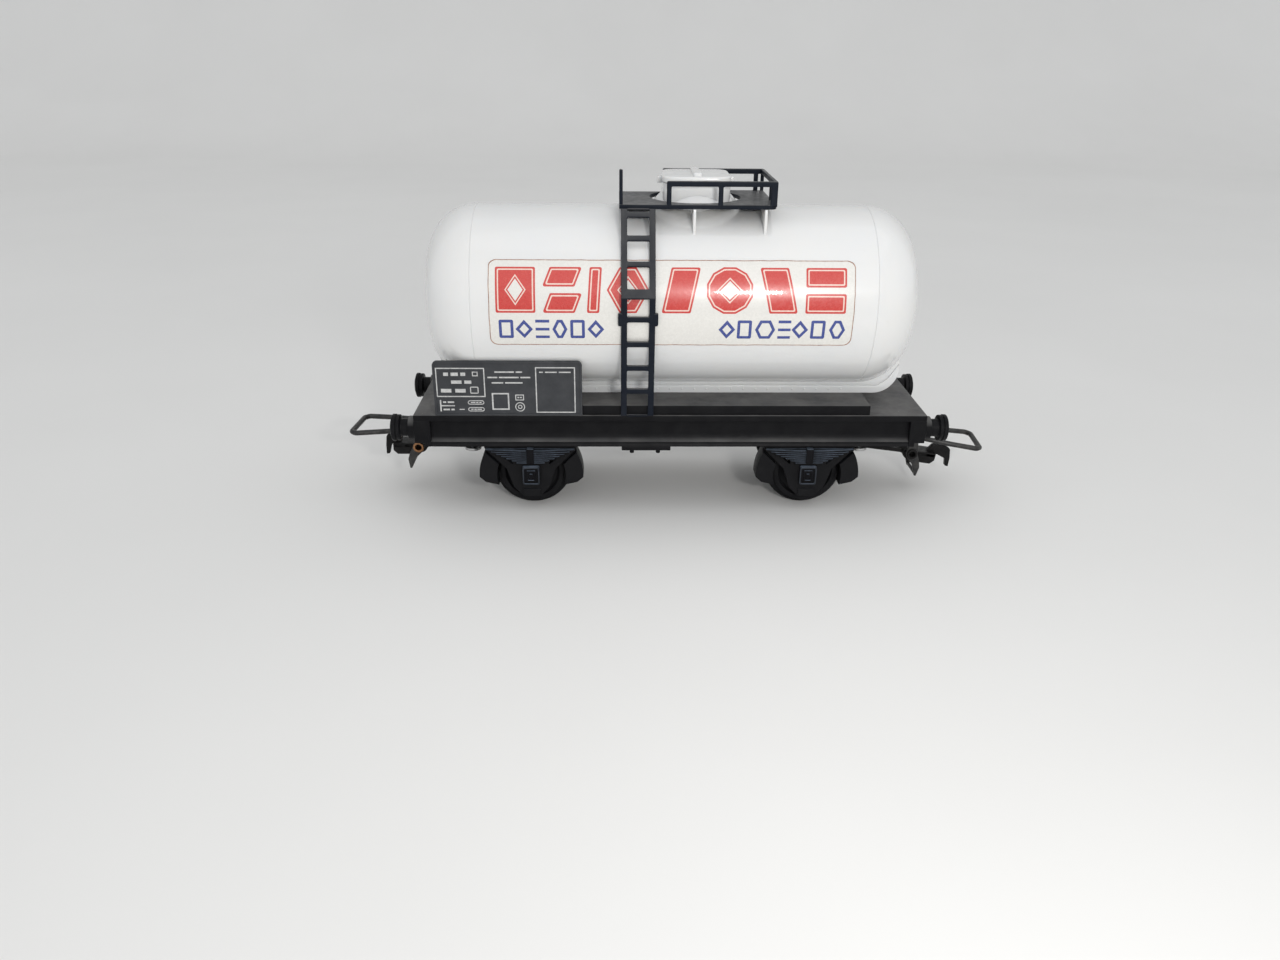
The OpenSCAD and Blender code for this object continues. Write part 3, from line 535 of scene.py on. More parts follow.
def tank_barrel():
    x = BARREL_X
    inner = TANK_R - TANK_WALL
    outer = [(inner, -x), (TANK_R - SEAM, -x), (TANK_R, -x + SEAM), (TANK_R, x - SEAM), (TANK_R - SEAM, x),
             (inner, x), (inner, -x)]
    shell = lathe(outer, (0, 0, TANK_Z), "X", 256)
    finish_piece("barrel_shell", shell, WHITE, "tank_barrel")
    bracket_x, bracket_t = (3.4, 15.7), 0.5
    outline = [(-10.15, 51.6), (-10.15, 56.12), (-5.6, 56.12), (-5.6, 54.2)]
    outline = rounded(outline, [0.05, 0.15, 0.05, 0.05], 3)
    for i, x in enumerate(bracket_x):
        fin = slab([outline], bracket_t, 0.12, along_x(x - bracket_t / 2))
        finish_piece(f"walkway_bracket_{i + 1}", fin, WHITE)


def tank_ends():
    profile = [(TANK_R - TANK_WALL, BARREL_X), (TANK_R - SEAM, BARREL_X), (TANK_R, BARREL_X + SEAM)]
    profile += end_profile()[1:]
    for side, turn in ENDS:
        shell = placed(lathe(profile, (0, 0, TANK_Z), "X", 256), turn)
        finish_piece(f"end_shell_{side}", shell, WHITE, f"tank_end_{side}")


def cradle():
    """Bed and end bands in one run: a riveted lower strip, an upper strip, and a core between."""
    half_y = cradle_hi.y
    z0 = PLINTH_Z
    bend = 4.6
    middle_x = cradle_hi.x - bend
    groove_z = z0 + 1.45
    tip = math.degrees(math.asin((cradle_hi.z - z0 - bend) / bend))

    def tank_edge(y, depth):
        """Points just inside the tank at a distance y from the middle, from the bed up to the tip."""
        flat = TANK_R - CORNER_R
        foot = TANK_Z - math.sqrt(TANK_R ** 2 - y ** 2)
        points = []
        for k in range(13):
            z = foot + (cradle_hi.z - foot) * k / 12
            r = math.hypot(y, TANK_Z - z) - flat
            points.append((BARREL_X + math.sqrt(max(CORNER_R ** 2 - r ** 2, 0)) - depth, z + depth * 0.7))
        return points

    def strip(right_half, y, bevel):
        """Slab across the wagon; the outline is given for the right half, bottom to top."""
        outline = list(right_half) + [(-x, z) for x, z in reversed(right_half)]
        return slab([outline], 2 * y, bevel, facing_front(y))

    line = rounded([(middle_x - 4, groove_z), (middle_x + 0.75, groove_z), (middle_x + 2.6, z0 + 2.85),
                    (middle_x + 4.2, z0 + 5.2)], [0, 1.2, 3, 0], 6, False)
    low = arc(middle_x, z0 + bend, bend, -90, tip * 0.45, 16)
    low += reversed([(x, z - 0.09) for x, z in line])
    high = [(x - 0.05, z + 0.09) for x, z in line] + arc(middle_x, z0 + bend, bend, tip * 0.6, tip, 3)
    core = arc(middle_x, z0 + bend, bend - 0.3, -90, tip * 0.5, 14)
    edge = list(reversed(tank_edge(half_y, 0.15)))
    parts = [strip(low, half_y, 0.07), strip(high + edge, half_y, 0.07)]
    parts.append(strip(core + edge[4:], half_y - 0.25, 0.0))
    rivet = [(0, 0.15), (0.12, 0.14), (0.21, 0.09), (0.24, 0), (0.24, -0.1), (0, -0.1)]
    pitch = 2.3
    count = 29
    for k in range(count):
        px = (k - (count - 1) / 2) * pitch
        for _, turn in SIDES:
            head = lathe(rivet, (0, 0, 0), "Y", 12)
            parts.append(placed(head, turn @ Matrix.Translation((px, half_y, z0 + 0.72))))
    finish_piece("cradle_band", joined(parts), WHITE, "tank_cradle", 40)


# ---------- manhole

def manhole():
    """Dome and lid, square with rounded corners; the dome stands on a round skirt."""

    def soft_square(half, corner, z0, z1, bevel):
        outline = rounded(rectangle(HATCH.x - half, -half, HATCH.x + half, half), corner, 12)
        return slab([outline], z1 - z0, bevel, lifted(z0))

    dome_r = 5.95
    top = dome_hi.z
    foot = (dome_hi.x - dome_lo.x) / 2
    neck = 4.2
    neck_z, foot_z, skirt_z, shoulder_z = 54.3, 55.8, 56.5, 57.9
    profile = rounded([(0, neck_z), (neck, neck_z), (neck, foot_z), (foot, foot_z), (foot, skirt_z),
                       (dome_r - 0.1, shoulder_z), (0, shoulder_z)], [0, 0, 0, 0.1, 0.25, 0.2, 0], 5, False)
    dome = [lathe(profile, HATCH, "Z", 128), soft_square(dome_r, 2.7, skirt_z - 0.05, top, 0.12)]
    finish_piece("dome_shell", joined(dome), WHITE, "manhole_dome")
    lid_r = (lid_hi.x - lid_lo.x) / 2
    lid_top = lid_hi.z
    lid = [soft_square(lid_r, 2.75, top + 0.01, lid_top, 0.3)]
    for side in (-1, 1):
        x = HATCH.x + side * (lid_r + 0.35)
        lid.append(block((x - 0.5, -0.62, top - 0.45), (x + 0.5, 0.62, top + 0.7), 0.22))
    finish_piece("lid_shell", joined(lid), WHITE, "manhole_lid")
    w = (strap_hi.x - strap_lo.x) / 2
    reach = strap_hi.y
    low, high = lid_top - 0.25, lid_top + 0.62
    ridge = rounded([(-reach, low), (reach, low), (reach, high), (-reach, high)], [0, 0, 0.4, 0.4], 6)
    strap = slab([ridge], 2 * w, 0.24, along_x(HATCH.x - w))
    finish_piece("lid_strap_bar", strap, WHITE, "lid_strap")


# ---------- walkway

def walkway():
    x0, y0 = walk_lo.x, walk_lo.y
    x1, y1 = walk_hi.x, walk_hi.y
    corners = [(x0, y0), (x1, y0), (x1, y1), (-1.5, y1), (-1.5, 6), (x0, 6)]
    edge = rounded(corners, [0.1, 1.0, 0.2, 0.2, 0.2, 0.2], 8)
    hole_r = 8.15
    hole = regular(HATCH.x, HATCH.y, hole_r, 96)
    floor = slab([edge, hole], walk_hi.z - walk_lo.z, 0.08, lifted(walk_lo.z))
    finish_piece("walkway_floor", floor, RAIL, "walkway")


def window_frame(posts, low, high):
    """Openings of a railing side: posts are (from, to) pairs, low and high the rails' edges."""
    openings = []
    for (_, left), (right, _) in zip(posts, posts[1:]):
        openings.append(rounded(rectangle(left, low, right, high), 0.18, 4))
    return openings


def railing():
    z0, z1 = walk_hi.z - 0.3, rail_hi.z
    low, high = walk_hi.z - 0.02, rail_hi.z - 0.9
    x0, x1, y0, y1 = rail_lo.x, rail_hi.x, rail_lo.y, rail_hi.y
    t = 0.6
    edge = rounded(rectangle(x0, z0, x1, z1), [0.05, 0.05, 0.3, 0.3], 4)
    front_posts = [(x0, x0 + 0.8), (7.4, 8.2), (x1 - 1.15, x1)]
    front = slab([edge, *window_frame(front_posts, low, high)], t, 0.12, facing_front(y0 + t))
    back_posts = [(x0, x0 + 0.8), (x1 - 1.9, x1 - 1.1)]
    back = slab([edge, *window_frame(back_posts, low, high),
                 rounded(rectangle(x1 - 1.1, z0 + 0.02, x1 - 0.6, high), 0.05, 3)], t, 0.1, facing_front(y1))
    side_posts = [(y0, y0 + 0.6), (y0 + 5.6, y0 + 6.4), (y1 - 0.6, y1)]
    side = slab([rounded(rectangle(y0 + 0.05, z0, y1 - 0.05, z1 - 0.02), [0.05, 0.05, 0.3, 0.3], 4),
                 *window_frame(side_posts, low, high)], t, 0.12, along_x(x1 - t))
    finish_piece("railing_frame", joined([front, back, side]), RAIL, "railing")
    edge = rounded([(grab_lo.x, grab_lo.z), (grab_hi.x, grab_lo.z), (grab_hi.x, grab_hi.z - 0.1),
                    (grab_lo.x + 0.2, grab_hi.z), (grab_lo.x, grab_hi.z - 0.15)],
                   [0, 0, 0.15, 0.05, 0.05], 4)
    post = slab([edge], grab_hi.y - grab_lo.y, 0.12, facing_front(grab_hi.y))
    finish_piece("grab_post_bar", post, RAIL, "grab_post")


def ladder():
    t = 0.55
    x0, x1 = -9.25, -3.35
    stile = 1.05
    foot = Vector((-14.5, DECK_Z + 0.05))
    knee = Vector((-17.25, 42.4))
    head = Vector((walk_lo.y - 0.05, walk_lo.z - 0.02))
    rung = 0.95
    parts = []
    lug_z = 18.5
    lengths = ((foot, knee, [4.9, 9.4, 13.9, lug_z], True), (knee, head, [1.1, 5.9, 10.4, 14.5], False))
    for start, end, rungs, lugs in lengths:
        run = (end - start).length
        lean = math.atan2(end.x - start.x, end.y - start.y)
        edge = rectangle(x0, 0, x1, run + 0.12) if lugs else rectangle(x0, -0.12, x1, run)
        levels = [(0, 0)] if lugs else []
        levels += [(z - rung / 2, z + rung / 2) for z in rungs]
        levels.append((run, run))
        openings = []
        for (_, low), (high, _) in zip(levels, levels[1:]):
            if high - low > 0.5:
                openings.append(rounded(rectangle(x0 + stile, low, x1 - stile, high), 0.22, 4))
        length = slab([rounded(edge, 0.02, 1), *openings], t, 0.1)
        place = (Matrix.Translation((0, start.x, start.y)) @ Matrix.Rotation(-lean, 4, "X")
                 @ Matrix.Rotation(math.pi / 2, 4, "X") @ lifted(-t / 2))
        parts.append(placed(length, place))
        if lugs:
            for a, b in ((x0 - 0.5, x0 + 0.3), (x1 - 0.3, x1 + 0.5)):
                lug = slab([rounded(rectangle(a, lug_z - 1.15, b, lug_z + 1.15), 0.25, 4)], t + 0.1, 0.1)
                parts.append(placed(lug, place @ lifted(-0.05)))
    finish_piece("ladder_frame", joined(parts), RAIL, "ladder")


# ---------- underframe

def underframe():
    plan = rounded(rectangle(-HALF_L, -HALF_W, HALF_L, HALF_W), 0.15, 3)
    deck = slab([plan], DECK_T, 0.13, lifted(UNDER_Z))
    finish_piece("deck_plate", deck, BLACK, "underframe")
    x, y = 36.2, HALF_W - 0.4
    notch = plate_lo.y + 0.62
    plan = [(-x, notch), (plate_hi.x + 0.1, notch), (plate_hi.x + 0.1, -y), (x, -y), (x, y), (-x, y)]
    middle = slab([plan], PLINTH_H + 0.05, 0.12, lifted(DECK_Z - 0.05))
    finish_piece("deck_middle", middle, BLACK)
    setback = 1.2
    web = HALF_W - setback
    lip = 0.2
    cove = [(-HALF_W + lip + (setback - lip) * math.cos(a), SOLE_Z + 2.4 - 1.5 * math.sin(a))
            for a in (math.pi / 2 * k / 10 for k in range(11))]
    section = [(-HALF_W + 2.1, UNDER_Z + 0.05), (-HALF_W + 2.1, SOLE_Z), (-HALF_W + 0.15, SOLE_Z),
               (-HALF_W + 0.04, SOLE_Z + 0.05), (-HALF_W, SOLE_Z + 0.12), (-HALF_W, SOLE_Z + 0.25),
               (-HALF_W + lip, SOLE_Z + 0.42)]
    section += list(reversed(cove)) + [(-web, UNDER_Z + 0.05)]
    reach = HALF_L - 2.9
    bar = slab([section], 2 * reach, 0.0, along_x(-reach))
    for side, mirror in SIDES:
        finish_piece(f"sole_bar_{side}", copy_placed(bar, mirror), BLACK, angle=50)
    wall = HALF_W - 2.1
    step_x, step_z = HALF_L - 1.8, SOLE_Z + 0.7
    plan = [(reach, -HALF_W), (HALF_L, -HALF_W), (HALF_L, HALF_W), (reach, HALF_W), (reach, wall),
            (HALF_L - 2.2, wall), (HALF_L - 2.2, -wall), (reach, -wall)]
    parts = [slab([plan], UNDER_Z + 0.1 - step_z, 0.1, lifted(step_z))]
    for side in (-1, 1):
        y0, y1 = sorted((side * (HALF_W - 0.01), side * (wall + 0.01)))
        parts.append(block((reach + 0.01, y0, SOLE_Z), (step_x, y1, step_z + 0.4), 0.1))
    parts.append(block((HALF_L - 2.19, -wall, SOLE_Z), (step_x, wall, step_z + 0.4), 0.1))
    for y in (-BUFFER_Y, BUFFER_Y):
        collar = rounded([(0, HALF_L - 0.5), (2.35, HALF_L - 0.5), (2.35, HALF_L), (2.15, HALF_L + 0.25),
                          (2.15, HALF_L + COLLAR_L), (0, HALF_L + COLLAR_L)],
                         [0, 0, 0.1, 0.15, 0.12, 0], 4, False)
        parts.append(lathe(collar, (0, y, BUFFER_Z), "X", 64))
    boss = rounded([(0, UNDER_Z + 0.2), (2.4, UNDER_Z + 0.2), (2.4, BAR_Z + 0.55), (0.8, BAR_Z + 0.55)],
                   [0, 0, 0.2, 0], 4, False)
    parts.append(lathe(boss, (PIVOT_X, 0, 0), "Z", 64))
    beam = joined(parts)
    for end, mirror in ENDS:
        finish_piece(f"end_beam_{end}", copy_placed(beam, mirror), BLACK)
    x0, x1 = (corner.x for corner in box("ladder_clip"))
    clip = [block((x0, -HALF_W + 0.05, SOLE_Z - 0.75), (x1, -HALF_W + 1.5, SOLE_Z + 0.05), 0.12)]
    for x in (x0 + 1.9, x1 - 2.3):
        peg = rounded([(0, SOLE_Z - 0.3), (0.4, SOLE_Z - 0.3), (0.4, SOLE_Z - 1.35), (0, SOLE_Z - 1.35)],
                      [0, 0, 0.12, 0], 3, False)
        clip.append(lathe(peg, (x, -HALF_W + 0.6, 0), "Z", 24))
    finish_piece("ladder_clip_plate", joined(clip), BLACK, "ladder_clip")


def buffers():
    for end, turn in ENDS:
        for side, y in (("near", -BUFFER_Y), ("far", BUFFER_Y)):
            name = f"buffer_{end}_{side}"
            lo, hi = box(name)
            tip = hi.x if end == "right" else -lo.x
            head = hi.y - y
            root = HALF_L - 1.4
            profile = rounded([(0, root), (0.9, root), (0.9, HALF_L + 1.25), (1.65, HALF_L + 1.3),
                               (1.65, tip - 1.95), (head - 0.1, tip - 1.85), (head - 0.1, tip - 1.3),
                               (head - 0.22, tip - 1.26), (head - 0.22, tip - 1.14), (head, tip - 1.1),
                               (head, tip - 0.45), (head - 0.9, tip - 0.14), (0, tip)],
                              [0, 0, 0, 0.05, 0.2, 0.1, 0.1, 0, 0, 0.08, 0.18, 0.6, 0], 6, False)
            mesh = placed(lathe(profile, (0, y, BUFFER_Z), "X", 64), turn)
            finish_piece(f"{name}_turned", mesh, WHEEL, name, 40)


# ---------- data plate

def data_plate():
    x0, x1 = plate_lo.x, plate_hi.x
    z0, z1 = plate_lo.z, plate_hi.z
    y = plate_lo.y + 0.6
    edge = rounded(rectangle(x0, z0, x1, z1), [0.08, 0.08, 0.85, 0.85], 8)
    hole = rounded(rectangle(x0 + 0.38, z0 + 0.3, x1 - 0.38, z1 - 0.38), [0.08, 0.08, 0.5, 0.5], 6)
    parts = [slab([edge], 0.46, 0.06, facing_front(y)), slab([edge, hole], 0.2, 0.07, facing_front(y - 0.4))]
    finish_piece("plate_board", joined(parts), PLATE, "data_plate", 40)
    marks = []
    left = x0 + 0.5
    place = Matrix.Translation((left, 0, z0)) @ facing_front(y - 0.462)
    top, right = z1 - z0, x1 - left

    def mark(*outlines):
        marks.append(slab(outlines, 0.015, 0.0, place))

    def frame_mark(a, b, c, d, w, r=0.02):
        """Frame with a line w wide and corners of radius r."""
        hole = rounded(rectangle(a + w, b + w, c - w, d - w), max(r - w, 0.01), 4)
        mark(rounded(rectangle(a, b, c, d), r, 4), hole)

    def bars(a, c, z, tall, widths, gap=0.28):
        """A row of short bars from a to c, in the given proportions."""
        room = (c - a) - gap * (len(widths) - 1)
        for w in widths:
            step = room * w / sum(widths)
            mark(rectangle(a, z, a + step, z + tall))
            a += step + gap

    frame_mark(0, top - 6.7, 8.7, top - 1.25, 0.2)
    bars(1.4, 5.3, top - 2.75, 0.62, (2, 3, 2), 0.45)
    frame_mark(6.5, top - 2.8, 7.5, top - 1.95, 0.16)
    bars(2.7, 6.3, top - 4.2, 0.6, (3, 2), 0.5)
    bars(0.8, 5.2, top - 5.85, 0.68, (3, 3), 0.7)
    frame_mark(6.0, top - 6.05, 7.5, top - 4.75, 0.17, 0.2)
    mark(rectangle(0.45, 0.75, 0.7, 2.9))
    mark(rectangle(0.7, 1.72, 3.1, 1.93))
    bars(1.0, 3.0, 2.35, 0.3, (1, 2))
    bars(1.0, 3.0, 0.95, 0.3, (2, 1))
    frame_mark(5.45, 2.05, 8.4, 2.85, 0.15, 0.39)
    frame_mark(5.45, 0.75, 8.4, 1.55, 0.15, 0.39)
    mark(rectangle(3.9, 1.05, 4.8, 1.22))
    bars(6.0, 7.9, 2.34, 0.2, (2, 1, 1), 0.15)
    bars(6.0, 7.9, 1.05, 0.2, (1, 1, 2), 0.15)
    middle = 9.9
    bars(middle + 0.6, middle + 5.5, top - 2.15, 0.26, (3, 1), 0.3)
    bars(middle - 0.7, middle + 6.9, top - 3.15, 0.26, (2, 4, 2), 0.3)
    bars(middle, middle + 5.5, top - 4.15, 0.26, (2, 3), 0.35)
    frame_mark(middle - 0.1, 1.05, middle + 3.0, 4.25, 0.26)
    frame_mark(middle + 4.1, 2.85, middle + 5.65, 3.95, 0.16, 0.08)
    bars(middle + 4.5, middle + 5.25, 3.28, 0.24, (1, 1), 0.15)
    for r0, r1 in ((0.88, 0.72), (0.4, 0.24)):
        ring = regular(middle + 4.9, 1.62, r0, 28)
        mark(ring, regular(middle + 4.9, 1.62, r1, 28))
    frame_mark(right - 8.3, 0.5, right - 1.2, top - 1.1, 0.2)
    bars(right - 7.6, right - 2.0, top - 2.15, 0.22, (1, 3, 3), 0.35)
    finish_piece("plate_print", joined(marks), PRINT)


# ---------- printed panel

def wrapped(outlines, lift, far=False):
    """Film drawn in (x, arc length above mid-height), wound on the barrel lift mm off its surface."""
    mesh = slab(outlines, 0.012, 0.0)
    bm = bmesh.new()
    bm.from_mesh(mesh)
    low = min(v.co.y for v in bm.verts)
    high = max(v.co.y for v in bm.verts)
    cuts = int((high - low) / 0.55)
    for k in range(1, cuts + 1):
        s = low + (high - low) * k / (cuts + 1)
        everything = bm.verts[:] + bm.edges[:] + bm.faces[:]
        bmesh.ops.bisect_plane(bm, geom=everything, plane_co=(0, s, 0), plane_no=(0, 1, 0), dist=1e-6)
    for v in bm.verts:
        r = TANK_R + lift + v.co.z
        a = v.co.y / TANK_R
        v.co = Vector((v.co.x, -r * math.cos(a), TANK_Z + r * math.sin(a)))
    if far:
        bm.transform(Matrix.Rotation(math.pi, 4, "Z"))
    return from_bmesh(bm)


def wobbled(points, swing, seed):
    """Outline cut into short steps, each point shifted a little, as hand-laid film edges are."""
    finest = 1.1
    rng = random.Random(seed)
    out = []
    for a, b in zip(points, points[1:] + points[:1]):
        a, b = Vector(a), Vector(b)
        steps = max(1, int((b - a).length / finest))
        for k in range(steps):
            shift = Vector((rng.uniform(-swing, swing), rng.uniform(-swing, swing)))
            out.append(a.lerp(b, k / steps) + shift)
    return out


def leaning(x0, s0, x1, s1, lean):
    """Parallelogram whose upper side is moved right by lean."""
    return [(x0, s0), (x1 - lean, s0), (x1, s1), (x0 + lean, s1)] if lean > 0 else \
        [(x0 - lean, s0), (x1, s0), (x1 + lean, s1), (x0, s1)]


def red_figures():
    """Plain figures as (outline, openings) pairs, in eight groups along the panel."""
    s0, s1 = 0.63, 8.42
    mid = (s0 + s1) / 2
    return [
        (rectangle(-30.7, s0, -23.9, s1), [diamond(-27.3, mid, 1.3, 1.9)]),
        (leaning(-22.7, mid + 0.55, -15.9, s1, 1.3), []),
        (leaning(-22.7, s0, -15.9, mid - 0.55, 1.3), []),
        (leaning(-15.1, s0, -12.5, s1, 0.5), []),
        (hexagon(-11.7, s0, -4.4, s1, 2.2), [diamond(-8.05, mid, 1.3, 1.7)]),
        (leaning(-2.3, s0, 4.4, s1, 1.7), []),
        (regular(9.4, mid, 4.1, 12, math.pi / 12), [diamond(9.4, mid, 1.6, 1.6)]),
        (leaning(14.6, s0, 21.2, s1, -1.7), []),
        (rectangle(22.5, s0, 29.5, mid - 0.55), []),
        (rectangle(22.5, mid + 0.55, 29.5, s1), []),
    ]


def blue_figures():
    """Small open figures with a drawn line 0.5 mm wide, as pairs of outlines."""
    s0, s1 = -3.98, -0.58
    mid = (s0 + s1) / 2
    w = 0.5
    out = []

    def square(x0, x1):
        out.append((rounded(rectangle(x0, s0, x1, s1), 0.3, 4), rectangle(x0 + w, s0 + w, x1 - w, s1 - w)))

    def rhombus(x0, x1):
        whole = diamond((x0 + x1) / 2, mid, (x1 - x0) / 2 + 0.15, (s1 - s0) / 2)
        out.append((whole, inset(whole, w)))

    def bars(x0, x1):
        for z in (s0, mid - w / 2, s1 - w):
            out.append((rectangle(x0 + 0.1, z, x1 - 0.1, z + w),))

    def six_sided(x0, x1):
        whole = hexagon(x0, s0, x1, s1, 0.85)
        out.append((whole, inset(whole, w)))

    left = ((square, -30.3, -27.8), (rhombus, -27.3, -24.6), (bars, -24.1, -21.5), (six_sided, -21.1, -18.5),
            (square, -18.0, -15.5), (rhombus, -14.9, -12.3))
    right = ((rhombus, 7.8, 10.4), (square, 10.9, 13.4), (six_sided, 14.0, 17.5), (bars, 17.9, 20.3),
             (rhombus, 20.5, 23.1), (square, 23.7, 26.2), (six_sided, 26.9, 29.7))
    for figure, x0, x1 in left + right:
        figure(x0, x1)
    return out


def printed_panels():
    x0, x1 = -31.9, 31.0
    s0, s1 = -5.35, 9.73
    panel = rounded(rectangle(x0, s0, x1, s1), 1.3, 6)
    for side, far in (("near", False), ("far", True)):
        border_w = 0.13
        outer = wobbled(panel, 0.035, 5 if far else 3)
        centre = Vector(((x0 + x1) / 2, (s0 + s1) / 2))
        shrink = Vector((1 - 2 * border_w / (x1 - x0), 1 - 2 * border_w / (s1 - s0)))
        inner = [centre + (p - centre) * shrink for p in outer]
        film = wrapped([panel], 0.006, far)
        finish_piece(f"label_film_{side}", film, LABEL, angle=60)
        border = wrapped([outer, inner], 0.02, far)
        finish_piece(f"label_border_{side}", border, BROWN, angle=60)
        reds, pales = [], []
        for outline, openings in red_figures():
            reds.append(wrapped([rounded(outline, 0.3, 4), *openings], 0.022, far))
            lines = [(rounded(inset(outline, 0.32), 0.25, 4), rounded(inset(outline, 0.55), 0.15, 4))]
            lines += [(inset(opening, -0.42), inset(opening, -0.22)) for opening in openings]
            pales += [wrapped(line, 0.036, far) for line in lines]
        finish_piece(f"red_figures_{side}", joined(reds), RED, angle=60)
        finish_piece(f"pale_lines_{side}", joined(pales), PALE, angle=60)
        blues = [wrapped(list(figure), 0.022, far) for figure in blue_figures()]
        finish_piece(f"blue_figures_{side}", joined(blues), BLUE, angle=60)


# ---------- running gear

def springs():
    """Leaf springs with a buckle: one is made and copied to the four places."""
    y = GUARD_Y
    top = box("spring_right_near")[1].z - 0.2
    half0, half1, count = 8.2, 2.6, 7
    pitch = 0.4
    sag = 0.3
    parts = []
    for i in range(count):
        half = half0 + (half1 - half0) * i / (count - 1)
        z = top - i * pitch - sag
        marks = [half * (2 * k / 14 - 1) for k in range(15)]
        upper = [(x, z + sag * (x / half0) ** 2) for x in marks]
        lower = [(x, b - 0.31) for x, b in reversed(upper)]
        parts.append(slab([upper + lower], 1.02, 0.09, facing_front(y)))
    buckle = rounded(rectangle(-0.66, top - count * pitch - 0.05, 0.66, top + 0.15), 0.15, 4)
    parts.append(slab([buckle], 1.28, 0.1, facing_front(y)))
    parts.append(block((-half0, y - 0.25, top - 0.42), (half0, y + 0.05, top - 0.1), 0.05))
    place_four("spring", joined(parts), LEAF, "leaves")


def place_four(stem, mesh, material, word, replace=True):
    """Puts a piece, made for the near side of an axle at x = 0, at the four wheels."""
    for end, mirror in ENDS:
        for side, flip in SIDES:
            name = f"{stem}_{end}_{side}"
            place = mirror @ flip @ Matrix.Translation((WHEEL_X, 0, 0))
            finish_piece(f"{name}_{word}", copy_placed(mesh, place), material, name if replace else ())


def axle_boxes():
    y = GUARD_Y
    z = WHEEL_Z + 0.35
    hw, hh = 1.65, 1.85

    def outline(x, h, r):
        return rounded(rectangle(-x, z - h, x, z + h), r, 5)

    parts = [slab([outline(hw, hh, 0.45)], 0.78, 0.1, facing_front(y)),
             slab([outline(0.85, 1.1, 0.22), outline(0.6, 0.85, 0.12)], 0.26, 0.08, facing_front(y - 0.7)),
             slab([outline(0.3, 0.42, 0.1)], 0.24, 0.07, facing_front(y - 0.7))]
    place_four("axle_box", joined(parts), LEAF, "cover")
    # The rim piece carries a painted highlight outline round each axle box cover.
    rim = slab([outline(hw - 0.08, hh - 0.08, 0.42), outline(hw - 0.33, hh - 0.33, 0.3)], 0.3, 0.09,
               facing_front(y - 0.7))
    place_four("axle_box", rim, PAINTED_HIGHLIGHT_RIM, "rim", False)
    keeper = slab([rounded(rectangle(-1.62, 3.25, 1.62, 4.75), 0.2, 4)], 0.3, 0.1, facing_front(y + 0.05))
    for end, mirror in ENDS:
        places = [mirror @ flip @ Matrix.Translation((WHEEL_X, 0, 0)) for _, flip in SIDES]
        keepers = joined([copy_placed(keeper, place) for place in places])
        finish_piece(f"keeper_bars_{end}", keepers, GEAR)


def wheels():
    hub, tread, flange, back = 1.9, 6.0, WHEEL_Z, 7.2
    face = back + 2.8
    bore = 0.98
    rim = rounded([(bore, face - 0.02), (hub - 0.1, face - 0.02), (hub, face - 0.6), (2.4, face - 0.75),
                   (4.7, face - 0.7), (5.1, face - 0.45), (5.12, face), (tread, face), (tread, back + 1.0),
                   (flange - 0.35, back + 0.85), (flange, back + 0.55), (flange, back + 0.25),
                   (flange - 0.3, back), (5.15, back), (5.1, back + 0.45), (4.7, back + 0.7),
                   (2.4, back + 0.7), (hub, back + 0.5), (hub - 0.1, back + 0.02), (bore, back + 0.02),
                   (bore, face - 0.02)],
                  [0, 0.1, 0.15, 0.3, 0.3, 0.1, 0.08, 0.1, 0.3, 0.2, 0.12, 0.12, 0.15, 0.1, 0.1, 0.2, 0.3,
                   0.1, 0.1, 0, 0], 4, False)
    tip, seat, thick, thin = 12.15, 10.35, 1.0, 0.7
    rod = rounded([(0, -tip), (thin, -tip), (thin, -seat), (thick, -seat), (thick, seat), (thin, seat),
                   (thin, tip), (0, tip)], [0, 0.15, 0.05, 0.12, 0.12, 0.05, 0.15, 0], 4, False)
    for end, sign in (("right", 1), ("left", -1)):
        wheelset = f"wheelset_{end}"
        for side, flip in (("near", MIRROR_Y), ("far", STAY)):
            place = Matrix.Translation((sign * WHEEL_X, 0, WHEEL_Z)) @ flip
            mesh = placed(lathe(rim, (0, 0, 0), "Y", 128), place)
            name = f"wheel_{end}_{side}"
            finish_piece(f"{name}_disc", mesh, WHEEL, name, 40, wheelset)
        mesh = lathe(rod, (sign * WHEEL_X, 0, WHEEL_Z), "Y", 48)
        finish_piece(f"axle_{end}_rod", mesh, STEEL, f"axle_{end}", 40, wheelset)


# ---------- couplings

def coupling_place(end):
    """Local frame of a coupling: its pivot at the origin, its hook towards +X."""
    if end == "right":
        return Matrix.Translation((PIVOT_X, 0, BAR_Z)) @ Matrix.Rotation(DROOP, 4, "Y")
    return Matrix.Translation((-PIVOT_X, 0, BAR_Z)) @ Matrix.Rotation(math.pi, 4, "Z")


